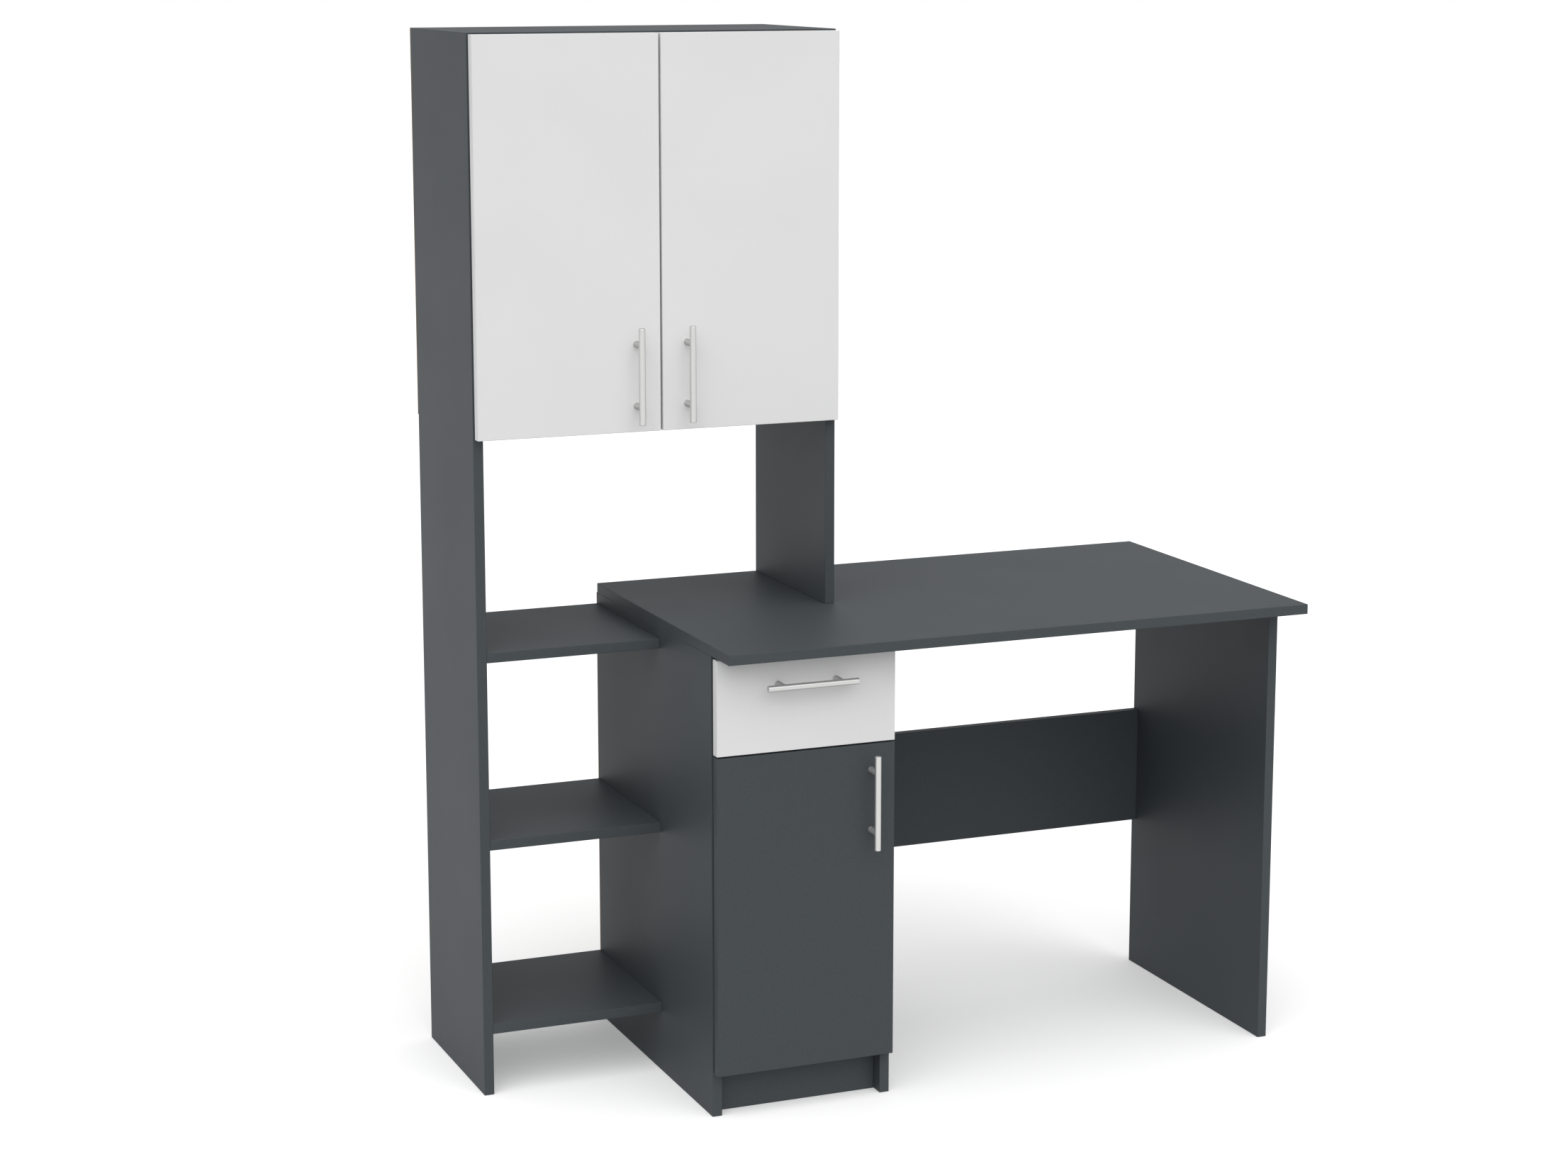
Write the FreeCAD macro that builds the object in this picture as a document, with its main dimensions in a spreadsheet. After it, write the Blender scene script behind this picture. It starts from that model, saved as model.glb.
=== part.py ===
import FreeCAD, Part
import os
import re
import Sketcher

# A writing desk built together with a shelf unit. A tall left panel and an upright that stands on
# the desktop carry a two-door cabinet, three shelves fill the bay on the left, and a pedestal with
# a drawer over a door, a leg panel and a modesty panel carry the desktop.
# Millimetres, +Z up, the front towards -Y, the origin on the floor under the middle of the outline.

Vector = FreeCAD.Vector
doc = FreeCAD.newDocument("WritingDesk")

# The driving sizes: every size that can be set by itself.
SIZES = {
    # Outline
    "overall_width": 1300,
    "tall_height": 1664,
    "tall_width": 600,
    "tall_depth": 300,
    "bay_width": 300,
    "desk_height": 750,
    "desk_depth": 600,
    "pedestal_depth": 525,
    # Boards
    "board": 16,
    "front_board": 16,
    "drawer_board": 12,
    "back_board": 3,
    "edge_round": 0.8,
    # Shelves, plinth, leg and modesty panel
    "lower_shelf_height": 100,
    "middle_shelf_height": 400,
    "upper_shelf_height": 700,
    "cabinet_floor": 1050,
    "cabinet_shelf_height": 1350,
    "pedestal_shelf_height": 320,
    "loose_shelf_setback": 20,
    "loose_shelf_play": 1,
    "plinth_height": 70,
    "plinth_setback": 24,
    "leg_overhang": 10,
    "leg_setback": 75,
    "modesty_bottom": 265,
    "modesty_height": 200,
    # Doors and drawer front
    "front_gap": 3,
    "side_reveal": 2,
    "top_reveal": 2.5,
    "bottom_reveal": 0.5,
    "door_split": 3.4,
    "front_split": 2.7,
    "drawer_top_gap": 4,
    "drawer_front_height": 150,
    # Bar handles
    "handle_length": 150,
    "handle_spacing": 96,
    "handle_diameter": 10,
    "handle_post_diameter": 10,
    "handle_reach": 27,
    "handle_end_round": 1,
    "handle_inset": 40,
    "handle_end_gap": 14,
    "drawer_handle_drop": 44,
    "handle_screw_diameter": 4,
    "handle_screw_in": 10,
    "handle_screw_head": 8,
    "handle_screw_head_height": 2.2,
    "handle_hole_play": 0.25,
    # Concealed hinges
    "hinge_end_gap": 90,
    "cup_diameter": 35,
    "cup_depth": 13,
    "cup_wall": 0.8,
    "cup_edge": 3,
    "flange_width": 17,
    "flange_outside": 3,
    "flange_height": 62,
    "flange_thickness": 1.2,
    "cup_screw_spacing": 45,
    "cup_screw_offset": 9.5,
    "pin_edge": 7,
    "pin_depth": 9.5,
    "pin_diameter": 2.5,
    "pin_play": 0.05,
    "eye_diameter": 4.8,
    "arm_thickness": 2.4,
    "arm_width": 8,
    "arm_step": 14,
    "plate_setback": 37,
    "plate_length": 36,
    "plate_width": 14,
    "wing_height": 52,
    "wing_width": 12,
    "wing_thickness": 2,
    "plate_screw_spacing": 32,
    "wood_screw_diameter": 3.5,
    "wood_screw_in": 10,
    "wood_screw_head": 7,
    "wood_screw_head_height": 1.2,
    # Drawer box and its roller runners
    "drawer_depth": 450,
    "drawer_side_height": 100,
    "drawer_lift": 14,
    "bottom_lift": 9,
    "bottom_groove": 6,
    "runner_room": 12.5,
    "runner_lift": 2,
    "runner_setback": 3,
    "runner_length": 450,
    "runner_sheet": 1.2,
    "runner_flange": 10,
    "runner_tab": 24,
    "drawer_runner_length": 430,
    "drawer_runner_setback": 2,
    "drawer_runner_hang": 4,
    "roller_diameter": 17.4,
    "roller_width": 6.5,
    "roller_play": 0.3,
    "roller_side_play": 0.5,
    "roller_inset": 12,
    "axle_diameter": 5,
    "axle_play": 0.05,
    "axle_head": 8,
    "axle_head_height": 0.8,
    "runner_screw_inset": 60,
    "back_screw_drop": 20,
    "back_screw_spacing": 25,
    "back_screw_in": 28,
    "back_screw_head_height": 3,
    # Cam locks, dowels, shelf pins and nails
    "cam_diameter": 15,
    "cam_depth": 12.5,
    "drawer_cam_depth": 9.5,
    "cam_reach": 34,
    "cam_play": 0.1,
    "cam_slot_width": 1.6,
    "cam_slot_length": 10,
    "cam_slot_depth": 2,
    "bolt_shank": 6,
    "bolt_thread": 5,
    "thread_depth": 11,
    "bolt_bore": 8,
    "cam_inset": 50,
    "desk_cam_front": 90,
    "desk_cam_rear": 130,
    "leg_cam_rear": 50,
    "upright_cam_inset": 50,
    "modesty_cam_inset": 40,
    "drawer_cam_inset": 25,
    "dowel_step": 32,
    "dowel_diameter": 8,
    "dowel_in_face": 10,
    "dowel_in_end": 20,
    "shelf_pin_diameter": 5,
    "shelf_pin_in": 10,
    "shelf_pin_out": 8,
    "shelf_pin_inset": 40,
    "nail_diameter": 1.6,
    "nail_length": 18,
    "nail_head": 3.5,
    "nail_head_height": 0.6,
    "fit_play": 0.05,
    "over_cut": 1,
}

# Places that follow from the driving sizes.
PLACES = {
    # Across, left to right
    "left": "-overall_width / 2",
    "right": "overall_width / 2",
    "bay_right": "left + bay_width",
    "tall_right": "left + tall_width",
    "tall_middle": "left + tall_width / 2",
    "tall_inner_left": "left + board",
    "tall_inner_right": "tall_right - board",
    "pedestal_inner_left": "bay_right + board",
    "pedestal_inner_right": "tall_right - board",
    "pedestal_middle": "(bay_right + tall_right) / 2",
    "leg_outer": "right - leg_overhang",
    "leg_inner": "leg_outer - board",
    # Along, back to front
    "rear": "(desk_depth - back_board) / 2",
    "tall_front": "rear - tall_depth",
    "desk_front": "rear - desk_depth",
    "pedestal_front": "rear - pedestal_depth",
    "plinth_face": "pedestal_front + plinth_setback",
    "leg_rear": "rear - leg_setback",
    "modesty_middle": "leg_rear - board / 2",
    # Up
    "desk_under": "desk_height - board",
    "cabinet_ceiling": "tall_height - board",
    "pedestal_floor": "plinth_height + board",
    "modesty_top": "modesty_bottom + modesty_height",
    "drawer_front_top": "desk_under - drawer_top_gap",
    "drawer_front_bottom": "drawer_front_top - drawer_front_height",
    "divider_middle": "drawer_front_bottom - front_split / 2",
    "divider_under": "divider_middle - board / 2",
    "divider_top": "divider_middle + board / 2",
    # Doors and drawer front
    "cabinet_door_back": "tall_front - front_gap",
    "cabinet_door_face": "cabinet_door_back - front_board",
    "cabinet_door_bottom": "cabinet_floor + bottom_reveal",
    "cabinet_door_top": "tall_height - top_reveal",
    "left_door_edge": "tall_middle - door_split / 2",
    "right_door_edge": "tall_middle + door_split / 2",
    "front_left": "bay_right + side_reveal",
    "front_right": "tall_right - side_reveal",
    "pedestal_door_back": "pedestal_front - front_gap",
    "pedestal_door_face": "pedestal_door_back - front_board",
    "pedestal_door_bottom": "plinth_height + bottom_reveal",
    "pedestal_door_top": "drawer_front_bottom - front_split",
    # Drawer box and runners
    "drawer_left": "pedestal_inner_left + runner_room",
    "drawer_right": "pedestal_inner_right - runner_room",
    "drawer_inner_left": "drawer_left + drawer_board",
    "drawer_inner_right": "drawer_right - drawer_board",
    "drawer_rear": "pedestal_door_back + drawer_depth",
    "drawer_under": "divider_top + drawer_lift",
    "drawer_top": "drawer_under + drawer_side_height",
    "bottom_under": "drawer_under + bottom_lift",
    "bottom_top": "bottom_under + back_board",
    "groove_room": "bottom_groove + fit_play",
    "runner_under": "drawer_under + runner_lift",
    "runner_front": "pedestal_front + runner_setback",
    "channel_top": "runner_under + roller_diameter + 2 * roller_play + 2 * runner_sheet",
    "front_axle_along": "runner_front + runner_tab / 2",
    "front_axle_up": "channel_top + roller_play + roller_diameter / 2",
    "drawer_runner_front": "pedestal_door_back + drawer_runner_setback",
    "drawer_runner_rear": "drawer_runner_front + drawer_runner_length",
    "drawer_runner_top": "front_axle_up + roller_diameter / 2 + roller_play",
    "rear_axle_along": "drawer_runner_rear - roller_inset",
    "rear_axle_up": "runner_under + runner_sheet + roller_play + roller_diameter / 2",
    # Within a hinge, measured from its pin: inwards from the door's edge and back from the door
    "cup_middle": "cup_edge + cup_diameter / 2 - pin_edge",
    "panel_inner": "board - side_reveal - pin_edge",
    "panel_front": "pin_depth + front_gap",
    "plate_middle": "panel_front + plate_setback",
    "arm_outside": "arm_step - arm_thickness / 2",
    "arm_inside": "arm_step + arm_thickness / 2",
    "pin_half": "sqrt((cup_diameter / 2 - cup_wall / 2)^2 - (cup_middle + pin_diameter / 2)^2)",
}

AXES = {
    "+x": Vector(1, 0, 0),
    "-x": Vector(-1, 0, 0),
    "+y": Vector(0, 1, 0),
    "-y": Vector(0, -1, 0),
    "+z": Vector(0, 0, 1),
    "-z": Vector(0, 0, -1),
}

sheet = doc.addObject("Spreadsheet::Sheet", "Sizes")
for row, (size, value) in enumerate(SIZES.items(), 1):
    sheet.set(f"A{row}", size)
    sheet.set(f"B{row}", str(value))
    sheet.setAlias(f"B{row}", size)
doc.recompute()


def formula(text):
    """The sheet's expression for a size or place given in words."""

    def looked_up(match):
        word = match.group()
        if word in PLACES:
            return "(" + formula(PLACES[word]) + ")"
        return "Sizes." + word if word in SIZES else word

    return re.sub(r"[a-z][a-z_]*", looked_up, str(text))


def bind(item, **sizes):
    for name, text in sizes.items():
        item.setExpression(name, formula(text))


def place(item, point, turn=None):
    """Puts an item's origin at a point given in words, turned or as it was made."""
    if turn is not None:
        item.Placement = FreeCAD.Placement(Vector(), turn)
    for axis, text in zip("xyz", point):
        item.setExpression("Placement.Base." + axis, formula(text))


def turned(x_to, z_to):
    """The turn that carries +X and +Z to two of the frame's own directions."""
    along = AXES[x_to]
    up = AXES[z_to]
    return FreeCAD.Rotation(along, up.cross(along), up, "ZXY")


def span(ends):
    """The length between a low and a high face."""
    return f"({ends[1]}) - ({ends[0]})"


def block(name, x, y, z):
    """A plain box between low and high faces."""
    item = doc.addObject("Part::Box", name)
    bind(item, Length=span(x), Width=span(y), Height=span(z))
    place(item, (x[0], y[0], z[0]))
    return item


def rod(name, diameter, length, start=("0", "0", "0"), along="+x"):
    """A round bar from its start."""
    item = doc.addObject("Part::Cylinder", name)
    bind(item, Radius=f"({diameter}) / 2", Height=length)
    place(item, start, FreeCAD.Rotation(Vector(0, 0, 1), AXES[along]))
    return item


def joined(name, *items):
    item = doc.addObject("Part::MultiFuse", name)
    item.Shapes = list(items)
    return item


def less(name, base, tool):
    item = doc.addObject("Part::Cut", name)
    item.Base = base
    item.Tool = tool
    return item


def gathered(name, items):
    """Separate solids kept together under one name."""
    item = doc.addObject("Part::Compound", name)
    item.Links = items
    return item


def pattern(item):
    """A piece drawn in place about the origin, for copies to repeat."""
    return gathered(item.Name + "_pattern", [item])


def copy_at(piece, point, turn):
    """A further copy of a piece that was drawn about the origin."""
    item = doc.addObject("App::Link", piece.Name + "_copy")
    item.setLink(piece)
    place(item, point, turn)
    return item


def mirrored(item, across):
    """The same piece on the other side of a plane across X."""
    other = doc.addObject("Part::Mirroring", item.Name + "_mirrored")
    other.Source = item
    other.Normal = AXES["+x"]
    other.setExpression("Base.x", formula(across))
    return other


# Each node's finished object, and the holes that its board gets.
nodes = {}
holes = {}


def board(label, x, y, z, eased=True):
    """A board sawn to a rectangle and, if it is edged, with its edges eased."""
    body = doc.addObject("PartDesign::Body", label + "_blank")
    outline = body.newObject("Sketcher::SketchObject", label + "_outline")
    ground = [plane for plane in body.Origin.OriginFeatures if plane.Role == "XY_Plane"]
    outline.AttachmentSupport = [(ground[0], "")]
    outline.MapMode = "FlatFace"
    corners = [Vector(0, 0), Vector(1, 0), Vector(1, 1), Vector(0, 1)]
    for side in range(4):
        outline.addGeometry(Part.LineSegment(corners[side], corners[(side + 1) % 4]))
    for side in range(4):
        outline.addConstraint(Sketcher.Constraint("Coincident", side, 2, (side + 1) % 4, 1))
        outline.addConstraint(Sketcher.Constraint("Vertical" if side % 2 else "Horizontal", side))
    outline.addConstraint(Sketcher.Constraint("Coincident", 0, 1, -1, 1))
    width = outline.addConstraint(Sketcher.Constraint("DistanceX", 0, 1, 0, 2, 1))
    outline.renameConstraint(width, "width")
    depth = outline.addConstraint(Sketcher.Constraint("DistanceY", 1, 1, 1, 2, 1))
    outline.renameConstraint(depth, "depth")
    outline.setExpression("Constraints.width", formula(span(x)))
    outline.setExpression("Constraints.depth", formula(span(y)))
    rise = body.newObject("PartDesign::Pad", label + "_rise")
    rise.Profile = outline
    bind(rise, Length=span(z))
    place(body, (x[0], y[0], z[0]))
    doc.recompute()
    if eased:
        easing = body.newObject("PartDesign::Fillet", label + "_easing")
        easing.Base = (rise, [""])
        easing.UseAllEdges = True
        bind(easing, Radius="edge_round")
    nodes[label] = body
    holes[label] = []


def screw(name, diameter, length, head, head_height, sunk=False):
    """A screw along +X with its seat at the origin, and the hole that takes it."""
    seat = "0" if sunk else f"-({head_height})"
    top = rod(name + "_head", head, head_height, (seat, "0", "0"))
    shank = rod(name + "_shank", diameter, length)
    mouth = ("-over_cut", "0", "0")
    hole = rod(name + "_hole", f"{diameter} + 2 * fit_play", f"{length} + fit_play + over_cut", mouth)
    if sunk:
        sink = rod(name + "_sink", f"{head} + 2 * fit_play", f"{head_height} + over_cut", mouth)
        hole = joined(name + "_sunk_hole", hole, sink)
    return joined(name, top, shank), pattern(hole)


def cam_fitting(name, thickness, depth):
    """A cam lock with its bolt along +X from the joint, the lock's open face towards +Z.

    Returns the lock, the bolt, the boring in the board that holds the lock and the hole in the
    board that holds the bolt's thread.
    """
    face = f"({thickness}) / 2"
    disc = rod(name + "_disc", "cam_diameter", depth, ("cam_reach", "0", f"{face} - {depth}"), "+z")
    way = rod(name + "_way", "bolt_shank + 2 * cam_play", "cam_reach + bolt_shank / 2 + cam_play")
    slot = block(name + "_slot",
                 ("cam_reach - cam_slot_length / 2", "cam_reach + cam_slot_length / 2"),
                 ("-cam_slot_width / 2", "cam_slot_width / 2"),
                 (f"{face} - cam_slot_depth", f"{face} + over_cut"))
    lock = less(name + "_lock", disc, joined(name + "_openings", way, slot))
    thread = rod(name + "_thread", "bolt_thread", "thread_depth", ("-thread_depth", "0", "0"))
    shank = rod(name + "_shank", "bolt_shank", "cam_reach + bolt_shank / 2")
    bolt = joined(name + "_bolt", thread, shank)
    pocket = rod(name + "_pocket", "cam_diameter + 2 * cam_play", f"{depth} + cam_play + over_cut",
                 ("cam_reach", "0", f"{face} - {depth} - cam_play"), "+z")
    bore = rod(name + "_bore", "bolt_bore", "cam_reach + over_cut", ("-over_cut", "0", "0"))
    boring = joined(name + "_boring", pocket, bore)
    tapping = rod(name + "_tapping", "bolt_thread + 2 * fit_play", "thread_depth + fit_play + over_cut",
                  ("-thread_depth - fit_play", "0", "0"))
    return lock, bolt, boring, pattern(tapping)


# Boards of the tall unit and the cabinet.
tall_y = ("tall_front", "rear")
across_tall = ("tall_inner_left", "tall_inner_right")
board("left_side_panel", ("left", "tall_inner_left"), tall_y, ("0", "tall_height"))
board("right_upright_panel", ("tall_inner_right", "tall_right"), tall_y, ("desk_height", "tall_height"))
board("cabinet_top_panel", across_tall, tall_y, ("cabinet_ceiling", "tall_height"))
board("cabinet_bottom_panel", across_tall, tall_y, ("cabinet_floor", "cabinet_floor + board"))
board("cabinet_shelf",
      ("tall_inner_left + loose_shelf_play", "tall_inner_right - loose_shelf_play"),
      ("tall_front + loose_shelf_setback", "rear - loose_shelf_play"),
      ("cabinet_shelf_height", "cabinet_shelf_height + board"))
board("cabinet_back_panel", ("left", "tall_right"), ("rear", "rear + back_board"),
      ("cabinet_floor", "tall_height"), eased=False)

# Shelves of the open bay.
BAY_SHELVES = ("lower", "middle", "upper")
for level in BAY_SHELVES:
    board(level + "_bay_shelf", ("tall_inner_left", "bay_right"), tall_y,
          (level + "_shelf_height", level + "_shelf_height + board"))

# Desktop, pedestal, leg and modesty panel.
pedestal_y = ("pedestal_front", "rear")
across_pedestal = ("pedestal_inner_left", "pedestal_inner_right")
board("desktop", ("bay_right", "right"), ("desk_front", "rear"), ("desk_under", "desk_height"))
board("pedestal_left_panel", ("bay_right", "pedestal_inner_left"), pedestal_y, ("0", "desk_under"))
board("pedestal_right_panel", ("pedestal_inner_right", "tall_right"), pedestal_y, ("0", "desk_under"))
board("pedestal_bottom_panel", across_pedestal, pedestal_y, ("plinth_height", "pedestal_floor"))
board("pedestal_plinth", across_pedestal, ("plinth_face", "plinth_face + board"), ("0", "plinth_height"))
board("pedestal_divider", across_pedestal, pedestal_y, ("divider_under", "divider_top"))
board("pedestal_shelf",
      ("pedestal_inner_left + loose_shelf_play", "pedestal_inner_right - loose_shelf_play"),
      ("pedestal_front + loose_shelf_setback", "rear - loose_shelf_play"),
      ("pedestal_shelf_height", "pedestal_shelf_height + board"))
board("pedestal_back_panel", ("bay_right", "tall_right"), ("rear", "rear + back_board"),
      ("plinth_height", "desk_under"), eased=False)
board("right_leg_panel", ("leg_inner", "leg_outer"), ("pedestal_front", "leg_rear"), ("0", "desk_under"))
board("modesty_panel", ("tall_right", "leg_inner"), ("leg_rear - board", "leg_rear"),
      ("modesty_bottom", "modesty_top"))

# Doors, drawer front and drawer box.
cabinet_door_y = ("cabinet_door_face", "cabinet_door_back")
cabinet_door_z = ("cabinet_door_bottom", "cabinet_door_top")
pedestal_door_y = ("pedestal_door_face", "pedestal_door_back")
across_front = ("front_left", "front_right")
board("left_door_panel", ("left + side_reveal", "left_door_edge"), cabinet_door_y, cabinet_door_z)
board("right_door_panel", ("right_door_edge", "tall_right - side_reveal"), cabinet_door_y, cabinet_door_z)
board("pedestal_door_panel", across_front, pedestal_door_y, ("pedestal_door_bottom", "pedestal_door_top"))
board("drawer_front", across_front, pedestal_door_y, ("drawer_front_bottom", "drawer_front_top"))
box_y = ("pedestal_door_back", "drawer_rear")
box_z = ("drawer_under", "drawer_top")
board("drawer_left_side", ("drawer_left", "drawer_inner_left"), box_y, box_z)
board("drawer_right_side", ("drawer_inner_right", "drawer_right"), box_y, box_z)
board("drawer_back", ("drawer_inner_left", "drawer_inner_right"),
      ("drawer_rear - drawer_board", "drawer_rear"), ("bottom_top", "drawer_top"))
board("drawer_bottom",
      ("drawer_inner_left - bottom_groove", "drawer_inner_right + bottom_groove"),
      ("pedestal_door_back - bottom_groove", "drawer_rear"), ("bottom_under", "bottom_top"), eased=False)

# The drawer bottom slides into a groove in the sides and the front.
groove = block("bottom_groove",
               ("drawer_inner_left - groove_room", "drawer_inner_right + groove_room"),
               ("pedestal_door_back - groove_room", "drawer_rear + over_cut"),
               ("bottom_under - fit_play", "bottom_top + fit_play"))
for label in ("drawer_left_side", "drawer_right_side", "drawer_front"):
    holes[label].append(groove)

# Cam locks and dowels of the carcass.
lock, bolt, boring, tapping = cam_fitting("cam", "board", "cam_depth")
dowel_length = "dowel_in_face + dowel_in_end"
dowel = pattern(rod("dowel", "dowel_diameter", dowel_length, ("-dowel_in_face", "0", "0")))
dowel_hole = pattern(rod("dowel_hole", "dowel_diameter + 2 * fit_play", f"{dowel_length} + 2 * fit_play",
                         ("-dowel_in_face - fit_play", "0", "0")))
locks = []
bolts = []
dowels = []


def cam_joint(end_board, face_board, point, into, face):
    """A lock in the end of one board pulls a bolt that is screwed into the face of another."""
    turn = turned(into, face)
    locks.append(copy_at(lock, point, turn))
    bolts.append(copy_at(bolt, point, turn))
    holes[end_board].append(copy_at(boring, point, turn))
    holes[face_board].append(copy_at(tapping, point, turn))


def dowel_joint(end_board, face_board, point, into, face):
    turn = turned(into, face)
    dowels.append(copy_at(dowel, point, turn))
    hole = copy_at(dowel_hole, point, turn)
    holes[end_board].append(hole)
    holes[face_board].append(hole)


def lying_board(label, middle, left_panel, right_panel, x, y):
    """Joins a lying board to the panels at its two ends, near its front and its back."""
    ends = ((left_panel, x[0], "+x"), (right_panel, x[1], "-x"))
    for panel, joint, into in ends:
        for edge, inwards in ((y[0], "+"), (y[1], "-")):
            lock_y = f"{edge} {inwards} cam_inset"
            cam_joint(label, panel, (joint, lock_y, middle), into, "-z")
            dowel_joint(label, panel, (joint, f"{lock_y} {inwards} dowel_step", middle), into, "-z")


def standing_panel(label, desk_side, face, x, front, back):
    """Joins an upright panel's end to the desktop, near the panel's front and its back."""
    level, into = ("desk_height", "+z") if desk_side == "top" else ("desk_under", "-z")
    for lock_y, inwards in ((front, "+"), (back, "-")):
        cam_joint(label, "desktop", (x, lock_y, level), into, face)
        dowel_joint(label, "desktop", (x, f"{lock_y} {inwards} dowel_step", level), into, face)


CABINET_BOARDS = (
    ("cabinet_top_panel", "cabinet_ceiling + board / 2"),
    ("cabinet_bottom_panel", "cabinet_floor + board / 2"),
)
PEDESTAL_BOARDS = (
    ("pedestal_bottom_panel", "plinth_height + board / 2"),
    ("pedestal_divider", "divider_middle"),
)
for label, middle in CABINET_BOARDS:
    lying_board(label, middle, "left_side_panel", "right_upright_panel", across_tall, tall_y)
for level in BAY_SHELVES:
    lying_board(level + "_bay_shelf", level + "_shelf_height + board / 2", "left_side_panel",
                "pedestal_left_panel", ("tall_inner_left", "bay_right"), tall_y)
for label, middle in PEDESTAL_BOARDS:
    lying_board(label, middle, "pedestal_left_panel", "pedestal_right_panel", across_pedestal, pedestal_y)
standing_panel("pedestal_left_panel", "underside", "+x", "bay_right + board / 2",
               "pedestal_front + desk_cam_front", "rear - desk_cam_rear")
standing_panel("pedestal_right_panel", "underside", "-x", "tall_right - board / 2",
               "pedestal_front + desk_cam_front", "rear - desk_cam_rear")
standing_panel("right_leg_panel", "underside", "+x", "leg_inner + board / 2",
               "pedestal_front + desk_cam_front", "leg_rear - leg_cam_rear")
standing_panel("right_upright_panel", "top", "+x", "tall_right - board / 2",
               "tall_front + upright_cam_inset", "rear - upright_cam_inset")
PLINTH_ENDS = (
    ("pedestal_left_panel", "pedestal_inner_left", "+x"),
    ("pedestal_right_panel", "pedestal_inner_right", "-x"),
)
for panel, joint, into in PLINTH_ENDS:
    point = (joint, "plinth_face + board / 2", "plinth_height / 2")
    cam_joint("pedestal_plinth", panel, point, into, "+y")
MODESTY_ENDS = (
    ("pedestal_right_panel", "tall_right", "+x"),
    ("right_leg_panel", "leg_inner", "-x"),
)
for panel, joint, into in MODESTY_ENDS:
    for up in ("modesty_bottom + modesty_cam_inset", "modesty_top - modesty_cam_inset"):
        cam_joint("modesty_panel", panel, (joint, "modesty_middle", up), into, "+y")
nodes["cam_locks"] = gathered("cam_locks", locks)
nodes["cam_bolts"] = gathered("cam_bolts", bolts)
nodes["dowels"] = gathered("dowels", dowels)

# Pins under the two loose shelves.
pin_length = "shelf_pin_in + shelf_pin_out"
shelf_pin = pattern(rod("shelf_pin", "shelf_pin_diameter", pin_length, ("-shelf_pin_in", "0", "0")))
shelf_pin_hole = pattern(rod("shelf_pin_hole", "shelf_pin_diameter + 2 * fit_play",
                             "shelf_pin_in + fit_play + over_cut",
                             ("-shelf_pin_in - fit_play", "0", "0")))
shelf_pins = []
LOOSE_SHELVES = (
    ("cabinet_shelf_height", tall_y, across_tall, ("left_side_panel", "right_upright_panel")),
    ("pedestal_shelf_height", pedestal_y, across_pedestal, ("pedestal_left_panel", "pedestal_right_panel")),
)
for under, depth, ends, panels in LOOSE_SHELVES:
    pin_z = f"{under} - shelf_pin_diameter / 2"
    front_pin = f"{depth[0]} + loose_shelf_setback + shelf_pin_inset"
    rear_pin = f"{depth[1]} - shelf_pin_inset"
    for panel, joint, into in zip(panels, ends, ("+x", "-x")):
        for pin_y in (front_pin, rear_pin):
            turn = turned(into, "+z")
            shelf_pins.append(copy_at(shelf_pin, (joint, pin_y, pin_z), turn))
            holes[panel].append(copy_at(shelf_pin_hole, (joint, pin_y, pin_z), turn))
nodes["shelf_pins"] = gathered("shelf_pins", shelf_pins)

# Nails that hold the two back panels to the edges of the boards in front of them.
SIDE_NAIL_COUNT = 6
CABINET_NAIL_COUNT = 5
PEDESTAL_NAIL_COUNT = 2
nail, nail_hole = screw("nail", "nail_diameter", "nail_length", "nail_head", "nail_head_height", sunk=True)
nails = []
CABINET_SIDES = (
    ("left_side_panel", "left + board / 2"),
    ("right_upright_panel", "tall_right - board / 2"),
)
PEDESTAL_SIDES = (
    ("pedestal_left_panel", "bay_right + board / 2"),
    ("pedestal_right_panel", "tall_right - board / 2"),
)


def nail_row(back, front, low, high, fixed, count, upright):
    """A row of evenly spaced nails through a back panel into the edge of one board."""
    for number in range(count):
        share = f"({low}) + (({high}) - ({low})) * {number + 0.5} / {count}"
        x, z = (fixed, share) if upright else (share, fixed)
        point = (x, "rear + back_board", z)
        nails.append(copy_at(nail, point, turned("-y", "+z")))
        hole = copy_at(nail_hole, point, turned("-y", "+z"))
        holes[back].append(hole)
        holes[front].append(hole)


for panel, x in CABINET_SIDES:
    nail_row("cabinet_back_panel", panel, "cabinet_floor", "tall_height", x, SIDE_NAIL_COUNT, True)
for panel, z in CABINET_BOARDS:
    nail_row("cabinet_back_panel", panel, *across_tall, z, CABINET_NAIL_COUNT, False)
for panel, x in PEDESTAL_SIDES:
    nail_row("pedestal_back_panel", panel, "plinth_height", "desk_under", x, SIDE_NAIL_COUNT, True)
for panel, z in PEDESTAL_BOARDS:
    nail_row("pedestal_back_panel", panel, *across_pedestal, z, PEDESTAL_NAIL_COUNT, False)
nodes["back_panel_nails"] = gathered("back_panel_nails", nails)

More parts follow.
